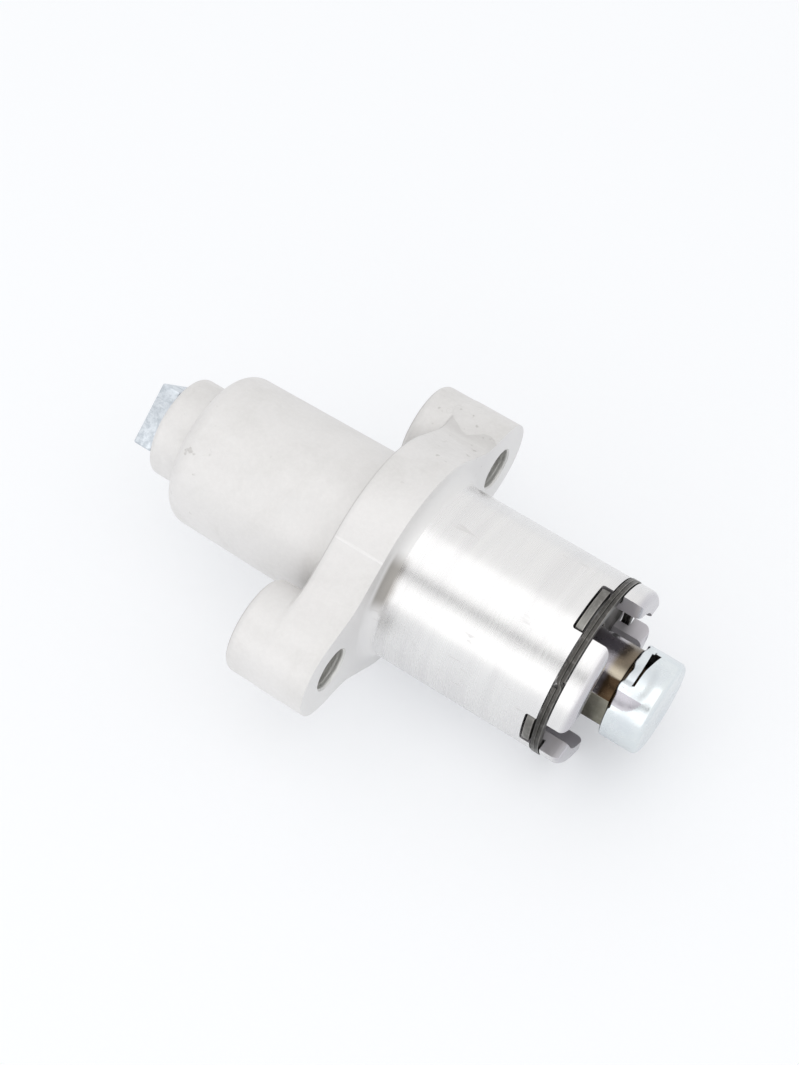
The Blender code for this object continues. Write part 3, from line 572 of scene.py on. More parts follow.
@dataclass(frozen=True)
class CastFinish(Finish):
    """Blasted die-cast aluminium, with the mould's parting ridge across the flange, painted glints on the grain, a
    painted highlight along the ridge and painted dark lines on some edges.
    """

    pale: Colour = (0.775, 0.763, 0.756)
    stained: Colour = (0.70, 0.688, 0.675)
    roughness: float = 0.5
    metallic: float = 0.3

    def material(self) -> bpy.types.Material:
        """Builds the material."""
        material, g, shader, place = self.start()
        skin = CAST_SKIN.use(g, Place=place, Grain=1500.0)
        tone = g.blend(skin["Stain"], rgba(self.pale), rgba(self.stained))
        tone = g.blend(g.math("MULTIPLY", skin["Marks"], 0.55), tone, rgba((0.42, 0.40, 0.38)))
        # Lighter specks on the fine grain: painted glints.
        tone = g.blend(g.span(skin["Fine"], 0.35, 0.7, 0.0, 0.16), tone, rgba((0.9, 0.89, 0.88)))
        g.feed(shader.inputs["Roughness"], g.span(skin["Stain"], 0.0, 1.0, self.roughness, self.roughness + 0.1))
        shader.inputs["Metallic"].default_value = self.metallic
        part = g.node("SeparateXYZ", {0: place}).outputs
        side, up = g.math("ABSOLUTE", part[1]), g.math("ABSOLUTE", part[2])
        turn = math.radians(40.0)
        off = g.math("SUBTRACT", g.math("MULTIPLY", side, math.cos(turn)), g.math("MULTIPLY", up, math.sin(turn)))
        ridge = g.span(g.math("ABSOLUTE", off), 0.00008, 0.0003, 1.0, 0.0)
        far = g.math("SQRT", g.math("ADD", g.math("MULTIPLY", side, side), g.math("MULTIPLY", up, up)))
        ridge = g.math("MULTIPLY", ridge, g.span(far, 0.0155, 0.0165))
        ridge = g.math("MULTIPLY", ridge, g.span(part[1], -0.0002, 0.0, 1.0, 0.0))
        ridge = g.math("MULTIPLY", ridge, g.span(g.noise(place, 300.0, 2.0), 0.3, 0.6, 0.5, 1.0))
        height = g.math("MULTIPLY_ADD", ridge, 1.2, skin["Height"])
        lap, line = self.mould_lap(g, place, part)
        height = g.math("MULTIPLY_ADD", lap, 1.5, height)
        self.bump(g, shader, height, 0.00007, 0.8)
        # Lighter line along the raised parting ridge: a painted highlight on a real ridge.
        tone = g.blend(g.math("MULTIPLY", ridge, 0.4), tone, rgba((0.95, 0.94, 0.94)))
        # Painted dark reflection on the rear edge rounds and painted shade along the lap, mixed into one dark tone.
        dark = g.math("MAXIMUM", g.math("MULTIPLY", self.edge_dark_reflection(g, part[0], side, up), 0.4), line)
        tone = g.blend(dark, tone, rgba((0.36, 0.35, 0.34)))
        g.feed(shader.inputs["Base Color"], tone)
        return material

    def edge_dark_reflection(self, g: Graph, along: Socket, side: Socket, up: Socket) -> Socket:
        """Share of the painted dark reflection: a thin dark line along the rear edge rounds of the flange and of the
        ears.
        """
        far = g.math("SQRT", g.math("ADD", g.math("MULTIPLY", side, side), g.math("MULTIPLY", up, up)))
        off = g.math("SUBTRACT", side, 0.022)
        lug = g.math("SQRT", g.math("ADD", g.math("MULTIPLY", off, off), g.math("MULTIPLY", up, up)))
        plate = g.math("MULTIPLY", g.span(along, -0.00825, -0.00815), g.span(along, -0.00805, -0.0079, 1.0, 0.0))
        plate = g.math("MULTIPLY", plate, g.span(far, 0.0135, 0.0145))
        plate = g.math("MULTIPLY", plate, g.span(lug, 0.0078, 0.0090))
        end = g.math("MULTIPLY", g.span(along, -0.01325, -0.01315), g.span(along, -0.01305, -0.0128, 1.0, 0.0))
        return g.math("MAXIMUM", plate, g.math("MULTIPLY", end, g.span(side, 0.0142, 0.0146)))

    def mould_lap(self, g: Graph, place: Socket, part: Sequence[Socket]) -> tuple[Socket, Socket]:
        """Low wavy step on the ear at +Y, where two parts of the mould meet, and the painted shade along it and on its
        flange side.
        """
        turn = g.math("ARCTAN2", g.math("SUBTRACT", 0.022, part[1]), part[2])
        wave = g.math("MULTIPLY_ADD", g.math("SINE", g.math("MULTIPLY", part[0], 950.0)), 0.12, 0.18)
        wave = g.math("MULTIPLY_ADD", g.noise(place, 420.0, 2.0), 0.2, wave)
        step = g.math("SUBTRACT", turn, wave)
        here = g.math("MULTIPLY", g.span(part[1], 0.017, 0.0185), g.span(part[0], -0.0088, -0.0082))
        lap = g.math("MULTIPLY", g.span(step, -0.035, 0.035, 1.0, 0.0), here)
        # Soft dark band at and beside the step: painted shade.
        soft = g.math("MULTIPLY", g.span(step, -0.02, 0.01), g.span(step, 0.02, 0.5, 1.0, 0.0))
        return lap, g.math("MULTIPLY", g.math("MULTIPLY", soft, here), 0.2)


@dataclass(frozen=True)
class TurnedFinish(Finish):
    """Machined aluminium, with rings from the tool and faint streaks."""

    pale: Colour = (0.80, 0.795, 0.79)
    dull: Colour = (0.755, 0.748, 0.748)
    roughness: float = 0.24
    metallic: float = 0.85
    depth: float = 0.0000007
    pitch: float = 0.00018
    strength: float = 0.2
    painted_root_reflection: bool = False
    tip_shade: bool = False

    def material(self) -> bpy.types.Material:
        """Builds the material."""
        material, g, shader, place = self.start()
        cut = TURNING.use(g, Place=place, Pitch=self.pitch)
        tone = g.blend(g.span(cut["Broad"], 0.3, 0.75), rgba(self.pale), rgba(self.dull))
        tone = g.blend(g.math("MULTIPLY", cut["Scuff"], 0.35), tone, rgba((0.52, 0.50, 0.49)))
        g.feed(shader.inputs["Base Color"], tone)
        rough = g.span(cut["Streak"], 0.3, 0.7, self.roughness, self.roughness + 0.06)
        g.feed(shader.inputs["Roughness"], g.math("MULTIPLY_ADD", cut["Scuff"], 0.15, rough))
        shader.inputs["Metallic"].default_value = self.metallic
        self.bump(g, shader, cut["Height"], self.depth, self.strength)
        part = g.node("SeparateXYZ", {0: place}).outputs
        if self.tip_shade:
            tip = g.math("MULTIPLY", g.span(part[0], 0.0311, 0.0323), 0.55)
            tone = g.blend(tip, tone, rgba((0.42, 0.40, 0.45)))
            g.feed(shader.inputs["Base Color"], tone)
        if self.painted_root_reflection:
            # Dark smudge in the root fillet by the mounting face: a painted reflection of the dark flag.
            turn = g.math("ARCTAN2", g.math("MULTIPLY", part[1], -1.0), part[2])
            near = g.math("ABSOLUTE", g.math("SUBTRACT", turn, math.radians(50.0)))
            edge = g.math("MULTIPLY_ADD", g.noise(place, 260.0, 3.0), 0.0012, part[0])
            stain = g.math("MULTIPLY", g.span(near, 0.16, 0.38, 1.0, 0.0), g.span(edge, 0.002, 0.0036, 1.0, 0.0))
            stain = g.math("MULTIPLY", stain, g.span(part[0], 0.0001, 0.0005))
            tone = g.blend(g.math("MULTIPLY", stain, 0.8), tone, rgba((0.25, 0.23, 0.205)))
            g.feed(shader.inputs["Base Color"], tone)
        return material


@dataclass(frozen=True)
class SteelFinish(Finish):
    """Steel with a coating or a bare surface, rubbed and scratched by handling."""

    main: Colour = (0.3, 0.3, 0.3)
    cloudy: Colour = (0.2, 0.2, 0.2)
    rubbed: Colour = (0.55, 0.54, 0.52)
    rub_share: float = 0.4
    scratch_share: float = 0.3
    roughness: float = 0.35
    metallic: float = 0.9
    cloud_scale: float = 180.0
    bump_depth: float = 0.000012

    def material(self) -> bpy.types.Material:
        """Builds the material."""
        material, g, shader, place = self.start()
        wear = STEEL_WEAR.use(g, Place=place, Cloud=self.cloud_scale)
        tone = g.blend(wear["Cloud"], rgba(self.main), rgba(self.cloudy))
        tone = g.blend(g.math("MULTIPLY", wear["Rub"], self.rub_share), tone, rgba(self.rubbed))
        tone = g.blend(g.math("MULTIPLY", wear["Scratch"], self.scratch_share), tone, rgba(self.rubbed))
        g.feed(shader.inputs["Base Color"], tone)
        rough = g.span(wear["Cloud"], 0.0, 1.0, self.roughness, self.roughness + 0.12)
        g.feed(shader.inputs["Roughness"], g.math("MULTIPLY_ADD", wear["Rub"], 0.08, rough))
        shader.inputs["Metallic"].default_value = self.metallic
        self.bump(g, shader, wear["Height"], self.bump_depth, 0.8)
        return material


@dataclass(frozen=True)
class NoseFinish(SteelFinish):
    """Coated steel whose sliding length behind the nose is rubbed bright, with a painted highlight along the top of the
    coated nose.
    """

    bright_until: float = 0.03275
    bright: Colour = (0.36, 0.34, 0.365)
    painted_nose_highlight: Colour = (0.56, 0.50, 0.40)

    def material(self) -> bpy.types.Material:
        """Builds the material."""
        material = super().material()
        g = Graph(material.node_tree)
        shader = material.node_tree.nodes["Principled BSDF"]
        coated = shader.inputs["Base Color"].links[0].from_socket
        place = g.node("TexCoord").outputs["Object"]
        part = g.node("SeparateXYZ", {0: place}).outputs
        turn = g.math("ARCTAN2", g.math("MULTIPLY", part[1], -1.0), part[2])
        turn = g.math("MULTIPLY_ADD", g.noise(place, 350.0, 2.0), 0.12, turn)
        # Band at a fixed angle round the nose, kept off the part inside the cap: a painted highlight.
        rubbed = g.math("MULTIPLY", g.span(turn, 0.12, 0.44, 0.25, 0.85), g.span(turn, 0.48, 0.55, 1.0, 0.0))
        rubbed = g.math("MULTIPLY", rubbed, g.span(part[0], 0.0344, 0.0348, 1.0, 0.0))
        coated = g.blend(rubbed, coated, rgba(self.painted_nose_highlight))
        ragged = g.math("MULTIPLY_ADD", g.noise(place, 700.0, 3.0), 0.0005, part[0])
        worn = g.span(ragged, self.bright_until - 0.0008, self.bright_until + 0.0004, 1.0, 0.0)
        g.feed(shader.inputs["Base Color"], g.blend(worn, coated, rgba(self.bright)))
        return material


CAST = CastFinish("die_cast_aluminium")
TURNED = TurnedFinish("turned_aluminium", painted_root_reflection=True, tip_shade=True)
FACED = TurnedFinish("faced_aluminium", roughness=0.42, metallic=0.4, depth=0.000002, painted_root_reflection=True)
DRILLED = TurnedFinish("drilled_aluminium", pale=(0.82, 0.82, 0.80), dull=(0.45, 0.44, 0.42), roughness=0.3,
                       metallic=0.7, pitch=0.0006, depth=0.00004, strength=1.0)
# Darker than the turned outside: painted shade inside the hollow and on the inner faces of the posts.
BORE = TurnedFinish("bored_aluminium", pale=(0.52, 0.50, 0.54), dull=(0.42, 0.405, 0.43), roughness=0.46,
                    metallic=0.4, depth=0.000002)
# Greyer and duller than the turned outside: a milled face, with painted shade on the slot walls of the posts.
MILLED = TurnedFinish("milled_aluminium", pale=(0.56, 0.54, 0.57), dull=(0.47, 0.455, 0.47), roughness=0.4,
                      metallic=0.45, depth=0.000001, pitch=0.0003)
PLATE = SteelFinish("dark_plate_steel", main=(0.10, 0.095, 0.088), cloudy=(0.055, 0.052, 0.048),
                    rubbed=(0.30, 0.29, 0.27), roughness=0.38)
PLATE_EDGE = SteelFinish("worn_plate_edge", main=(0.42, 0.41, 0.38), cloudy=(0.22, 0.21, 0.20),
                         rubbed=(0.62, 0.61, 0.58), roughness=0.34)
TAB_FACE = SteelFinish("sheared_tab_face", main=(0.29, 0.285, 0.27), cloudy=(0.17, 0.165, 0.155),
                       rubbed=(0.42, 0.41, 0.39), roughness=0.42)
RING = SteelFinish("dark_ring_steel", main=(0.085, 0.08, 0.075), cloudy=(0.05, 0.048, 0.045),
                   rubbed=(0.26, 0.25, 0.24), roughness=0.33)
RING_EDGE = SteelFinish("worn_ring_edge", main=(0.24, 0.235, 0.22), cloudy=(0.10, 0.097, 0.09),
                        rubbed=(0.42, 0.41, 0.39), roughness=0.3)
PHOSPHATE = NoseFinish("brown_phosphate_steel", main=(0.075, 0.047, 0.026), cloudy=(0.042, 0.028, 0.017),
                        rubbed=(0.22, 0.16, 0.10), roughness=0.24, rub_share=0.2, scratch_share=0.15,
                        metallic=1.0)
FLAT = NoseFinish("ground_flat_steel", bright_until=0.026, main=(0.38, 0.365, 0.295), cloudy=(0.26, 0.25, 0.20),
                   rubbed=(0.46, 0.445, 0.38), roughness=0.3, metallic=1.0)
ZINC = SteelFinish("bright_zinc_plate", main=(0.765, 0.81, 0.825), cloudy=(0.70, 0.745, 0.775),
                   rubbed=(0.86, 0.87, 0.88), roughness=0.2, metallic=0.95, scratch_share=0.15, rub_share=0.25)
BOLT_ZINC = SteelFinish("grainy_zinc_plate", main=(0.70, 0.745, 0.79), cloudy=(0.52, 0.565, 0.61),
                        rubbed=(0.85, 0.87, 0.9), roughness=0.34, cloud_scale=1300.0, bump_depth=0.00003)
GROUND = SteelFinish("ground_shaft_steel", main=(0.5, 0.49, 0.47), cloudy=(0.36, 0.35, 0.33),
                     rubbed=(0.66, 0.65, 0.63), roughness=0.28)
WIRE = SteelFinish("drawn_spring_wire", main=(0.22, 0.22, 0.225), cloudy=(0.13, 0.13, 0.135), roughness=0.33)
SOFT = SteelFinish("soft_washer_metal", main=(0.74, 0.74, 0.73), cloudy=(0.62, 0.62, 0.61), roughness=0.4)
# Dark inside of the cap and the slit's cut faces: partly sheared bare steel, partly painted shade inside the cup.
SHEARED_AND_SHADED = SteelFinish("dark_cap_inside", main=(0.10, 0.095, 0.09), cloudy=(0.05, 0.048, 0.045),
                      rubbed=(0.3, 0.3, 0.3), roughness=0.45)
# Greyer zinc on the lower slope of the dent in front of the slit: painted shade.
DENT_SHADE = SteelFinish("dent_shade_zinc_plate", main=(0.50, 0.485, 0.53), cloudy=(0.58, 0.565, 0.60),
                      rubbed=(0.8, 0.8, 0.82), roughness=0.25, metallic=0.95, scratch_share=0.1, rub_share=0.1)


@functools.cache
def material_of(finish: Finish) -> bpy.types.Material:
    """Makes a finish's material once."""
    return finish.material()


def wear_finishes(obj: Object, *finishes: Finish) -> None:
    """Gives an object the materials of these finishes, one a slot."""
    obj.data.materials.clear()
    for finish in finishes:
        obj.data.materials.append(material_of(finish))


def hand_over(obj: Object, node: str, body: Body) -> None:
    """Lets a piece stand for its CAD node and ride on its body."""
    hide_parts(node)
    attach(obj, body.value)
    LOG.info("%s: %d faces, rides on %s", obj.name, len(obj.data.polygons), body.value)


@dataclass
class Housing:
    """The die-cast housing, turned in front, bored through and slotted at its end. Sizes in mm."""

    flange: float = 8.3
    crown: float = 17.4
    crease: float = 40.0
    flat_angle: float = 36.7
    ear_place: float = 22.0
    ear_radius: float = 7.35
    ear_length: float = 13.3
    ear_end_round: float = 1.2
    ear_blend: float = 3.5
    hole_radius: float = 3.25
    rear_radius: float = 12.25
    rear_length: float = 36.9
    draft: float = 0.84
    shoulder: float = 3.0
    boss_radius: float = 8.0
    boss_length: float = 5.6
    front_radius: float = 14.0
    front_length: float = 32.6
    front_root: float = 2.0
    front_round: float = 1.3
    slot_depth: float = 6.4
    wide_slot: float = 8.6
    narrow_slot: float = 6.6
    bore: float = 10.0
    front_bore: float = 11.0
    groove: tuple[float, float, float] = (12.3, 27.85, 29.51)
    cell: float = 0.44
    net: SurfaceNet = field(init=False)

    def __post_init__(self) -> None:
        """Sets up the surface of the casting."""
        self.net = SurfaceNet(self.casting, (-44.0, -31.0, -19.0), (34.6, 31.0, 19.0), self.cell)

    def flange_outline(self, y: Array, z: Array) -> tuple[Array, Array]:
        """Distances to the outline of the flange with its ears, and to the ears alone."""
        side, up = np.abs(y), np.abs(z)
        turn = math.radians(self.flat_angle)
        limit = self.crown * math.cos(math.radians(self.crease - self.flat_angle))
        disc = np.hypot(side, up) - self.crown
        line = side * math.sin(turn) + up * math.cos(turn) - limit
        behind = up * math.sin(turn) - side * math.cos(turn)
        web = np.maximum(np.maximum(line, behind), side - self.ear_place)
        ear = np.hypot(side - self.ear_place, up) - self.ear_radius
        return join_round(np.minimum(disc, web), ear, self.ear_blend), ear

    def casting(self, x: Array, y: Array, z: Array) -> Array:
        """Distance to the casting before machining.

        Args:
            x: Place along the axis.
            y: Place towards the ear.
            z: Height.

        Returns:
            The distance in millimetres, negative inside.
        """
        out = np.hypot(y, z)
        taper = math.tan(math.radians(self.draft))
        side = out - self.rear_radius - (x + self.rear_length) * taper
        rear = np.maximum(meet_round(side, -self.rear_length - x, self.shoulder), x + 1.0)
        end = self.rear_length + self.boss_length
        boss = np.maximum(meet_round(out - self.boss_radius, -end - x, 0.9), x + 30.0)
        body = join_round(rear, boss, 0.7)
        outline, ear = self.flange_outline(y, z)
        plate = np.maximum(meet_round(outline, -self.flange - x, 0.9), x - 1.2)
        lug = np.maximum(meet_round(ear + (x + self.ear_length) * -0.006, -self.ear_length - x,
                                    self.ear_end_round), x - 1.2)
        rough = np.maximum(np.maximum(out - self.front_radius - 1.0, x - self.front_length - 0.8), -2.0 - x)
        body = join_round(body, plate, 0.35)
        body = join_round(body, lug, 0.35)
        return np.minimum(body, rough)

    def front_tool(self) -> Object:
        """What turning takes off: the mounting face, the front barrel, its groove and its edge."""
        radius, length, root = self.front_radius, self.front_length, self.front_root
        low, start, stop = self.groove
        line = rounded([
            (0.0, 40.0, 0), (0.0, radius, root), (start, radius, 0), (start, low, 0),
            (stop, low, 0), (stop, radius, 0), (length, radius, self.front_round), (length, 0.0, 0),
        ], 8, 1.2)
        return revolve("front_tool", [(length + 6, 0.0), (length + 6, 40.0), *line], 200)

    def bore_tool(self) -> Object:
        """The hollow of the housing, from the recess in its boss to its open front."""
        length = self.front_length
        line = rounded([
            (length + 2, 0.0, 0), (length + 2, self.front_bore, 0), (length - 13, self.front_bore, 0),
            (length - 14.5, self.bore, 0), (-34.1, self.bore, 1.6), (-34.1, 2.8, 0), (-35.9, 2.8, 0),
            (-35.9, 3.3, 0), (-41.5, 3.3, 0), (-41.5, 4.8, 0), (-44.0, 4.8, 0), (-44.0, 0.0, 0),
        ], 5, 3.0)
        return revolve("bore_tool", line, 120)

    def hole_tool(self, side: int) -> Object:
        """A mounting hole with a small chamfer at both ends."""
        r, end = self.hole_radius, -self.ear_length
        line = [(1.0, 0.0), (1.0, r + 1.25), (0.0, r + 0.25), (-0.25, r), (end + 0.25, r),
                (end, r + 0.25), (end - 1.0, r + 1.25), (end - 1.0, 0.0)]
        return revolve("hole_tool", line, 72, centre=(side * self.ear_place, 0.0))

    def slot_tool(self, width: float, axis: str) -> Object:
        """A slot across the front end, rounded at its floor and at the corners of the posts."""
        half, tip = width / 2, self.front_length
        floor = tip - self.slot_depth
        right = [(tip + 2, half + 1.1), *[(tip - 1.1 + 1.1 * math.cos(a), half + 1.1 - 1.1 * math.sin(a))
                                         for a in np.linspace(0, math.pi / 2, 7)],
                 *[(floor + 0.4 - 0.4 * math.sin(a), half - 0.4 + 0.4 * math.cos(a))
                   for a in np.linspace(0, math.pi / 2, 5)]]
        outline = right + [(x, -v) for x, v in reversed(right)]
        return prism("slot_tool", outline, -20.0, 20.0, axis)

    def dress(self, obj: Object) -> None:
        """Gives the faces their finish and the smooth surfaces their true normals."""
        wear_finishes(obj, CAST, TURNED, BORE, FACED, DRILLED, MILLED)
        smooth_shade(obj)
        mesh = obj.data
        centre, normal = face_values(mesh)
        out = np.hypot(centre[:, 1], centre[:, 2])
        hole = np.hypot(np.abs(centre[:, 1]) - self.ear_place, centre[:, 2]) < self.hole_radius + 0.3
        hole &= np.abs(normal[:, 0]) < 0.9
        front = (centre[:, 0] > -0.01) | ((centre[:, 0] < -42.45) & (normal[:, 0] < -0.999))
        inward = (centre[:, 1:] * normal[:, 1:]).sum(1) < -0.2 * out
        bored = inward & (out < self.front_bore + 0.2)
        slots = np.zeros(len(centre), np.int32)
        slots[front] = 1
        slots[front & (centre[:, 0] < 1.5)] = 3
        outward = (centre[:, 1:] * normal[:, 1:]).sum(1) / np.maximum(out, 0.1)
        slots[(centre[:, 0] > 26.1) & (outward < 0.75) & (np.abs(normal[:, 0]) < 0.75)] = 5
        slots[bored] = 2
        slots[hole] = 4
        mesh.polygons.foreach_set("material_index", slots)
        place, shown = corner_values(mesh)
        true = self.net.slope(place)
        true /= np.maximum(np.linalg.norm(true, axis=1), 1e-6)[:, None]
        on_cast = (np.abs(self.casting(*place.T)) < 0.03) & (place[:, 0] < 0.02)
        reach = np.hypot(place[:, 1], place[:, 2])
        radial = np.stack([np.zeros(len(place)), place[:, 1] / reach, place[:, 2] / reach], 1)
        on_barrel = (np.abs(reach - self.front_radius) < 0.01) & (place[:, 0] > self.front_root)
        fresh = np.where(on_barrel[:, None], radial, np.where(on_cast[:, None], true, shown))
        fresh = np.where(((fresh * shown).sum(1) > 0.85)[:, None], fresh, shown)
        mesh.normals_split_custom_set(fresh.tolist())

    def build(self) -> Object:
        """Builds and dresses the housing."""
        body = self.net.build("housing_body")
        carve(body, self.front_tool())
        carve(body, self.bore_tool())
        for side in (-1, 1):
            carve(body, self.hole_tool(side))
        carve(body, self.slot_tool(self.wide_slot, "Z"))
        carve(body, self.slot_tool(self.narrow_slot, "Y"))
        self.dress(body)
        hand_over(body, "housing", Body.HOUSING)
        return body


@dataclass
class FrontEnd:
    """The guide plate and the two-turn retaining ring that hold the front end. Sizes in mm."""

    rear: float = 26.5
    thickness: float = 1.2
    disc_radius: float = 10.7
    tab_radius: float = 14.0
    wide_tab: float = 8.0
    narrow_tab: float = 6.0
    corner: float = 0.5
    hole_radius: float = 6.4
    hole_flats: float = 11.0
    ring_rear: float = 28.05
    layer: float = 0.58
    layer_gap: float = 0.06
    ring_outer: float = 14.1
    ring_width: float = 1.5
    gap_angle: float = 51.4
    step_angle: float = 3.8
    end_gap: float = 0.7

    def plate_outline(self) -> list[Point]:
        """Outline of the plate as (y, z) points, tab after tab."""
        outline: list[Point] = []
        for i, width in enumerate((self.narrow_tab, self.wide_tab) * 2):
            half = width / 2
            root = math.sqrt(self.disc_radius ** 2 - half ** 2)
            tip = math.sqrt(self.tab_radius ** 2 - half ** 2)
            reach = math.asin((half - self.corner) / self.tab_radius)
            tab = [(root, -half), (tip - self.corner, -half), (tip - self.corner * 0.3, -half + self.corner * 0.3)]
            tab += [(self.tab_radius * math.cos(a), self.tab_radius * math.sin(a))
                    for a in np.linspace(-reach, reach, 9)]
            tab += [(tip - self.corner * 0.3, half - self.corner * 0.3), (tip - self.corner, half), (root, half)]
            other = (self.wide_tab if i % 2 == 0 else self.narrow_tab) / 2
            start = math.asin(half / self.disc_radius)
            end = math.pi / 2 - math.asin(other / self.disc_radius)
            tab += [(self.disc_radius * math.cos(a), self.disc_radius * math.sin(a))
                    for a in np.linspace(start, end, 9)[1:-1]]
            turn = Matrix.Rotation(i * math.pi / 2, 2)
            outline += [tuple(turn @ Vector(p)) for p in tab]
        return outline

    def build_plate(self) -> Object:
        """Builds the plate, with worn edges round its tabs."""
        plate = prism("guide_plate_dressed", self.plate_outline(), self.rear, self.rear + self.thickness, "X")
        start = math.acos(self.hole_flats / 2 / self.hole_radius)
        arc = [(self.hole_radius * math.cos(a), self.hole_radius * math.sin(a))
               for a in np.linspace(start, math.pi - start, 33)]
        hole = prism("hole_tool", arc + [(-y, -z) for y, z in arc], self.rear - 1, self.rear + 3, "X")
        carve(plate, hole)
        wear_finishes(plate, PLATE, PLATE_EDGE, TAB_FACE)
        centre, normal = face_values(plate.data)
        faces = (np.hypot(centre[:, 1], centre[:, 2]) > 13.0) & (np.abs(normal[:, 0]) < 0.3)
        plate.data.polygons.foreach_set("material_index", np.where(faces, 2, 0).astype(np.int32))
        round_edges(plate, 0.16, 2, 50.0, 1)
        smooth_shade(plate)
        hand_over(plate, "guide_plate", Body.HOUSING)
        return plate

    def build_ring(self) -> Object:
        """Builds the ring: one bar wound round twice, with a step between its turns."""
        low, high, edge = self.ring_outer - self.ring_width, self.ring_outer, 0.1
        section = [(0.0, low + edge), (edge, low), (self.layer - edge, low), (self.layer, low + edge),
                   (self.layer, high - edge), (self.layer - edge, high), (edge, high), (0.0, high - edge)]
        turn, rise = 360.0 - self.step_angle, self.layer + self.layer_gap
        stops = [*[(a, 0.0) for a in np.linspace(self.end_gap, turn, 150)],
                 *[(turn + self.step_angle * s, rise * float(ease(s))) for s in (0.2, 0.4, 0.6, 0.8)],
                 *[(360.0 + a, rise) for a in np.linspace(0, turn - self.end_gap, 150)]]
        verts, faces = [], []
        for angle, lift in stops:
            out = direction(self.gap_angle + angle)
            verts += [(self.ring_rear + lift + x, out.y * r, out.z * r) for x, r in section]
        n = len(section)
        for row in range(len(stops) - 1):
            faces += [(row * n + i, row * n + (i + 1) % n, (row + 1) * n + (i + 1) % n, (row + 1) * n + i)
                      for i in range(n)]
        faces += [range(n), range(len(verts) - n, len(verts))]
        ring = mesh_object("retaining_ring_dressed", verts, faces)
        wear_finishes(ring, RING, RING_EDGE)
        centre, normal = face_values(ring.data)
        tilt = np.abs(normal[:, 0])
        ring.data.polygons.foreach_set("material_index", ((tilt > 0.4) & (tilt < 0.9)).astype(np.int32))
        smooth_shade(ring, 25.0)
        hand_over(ring, "retaining_ring", Body.HOUSING)
        return ring


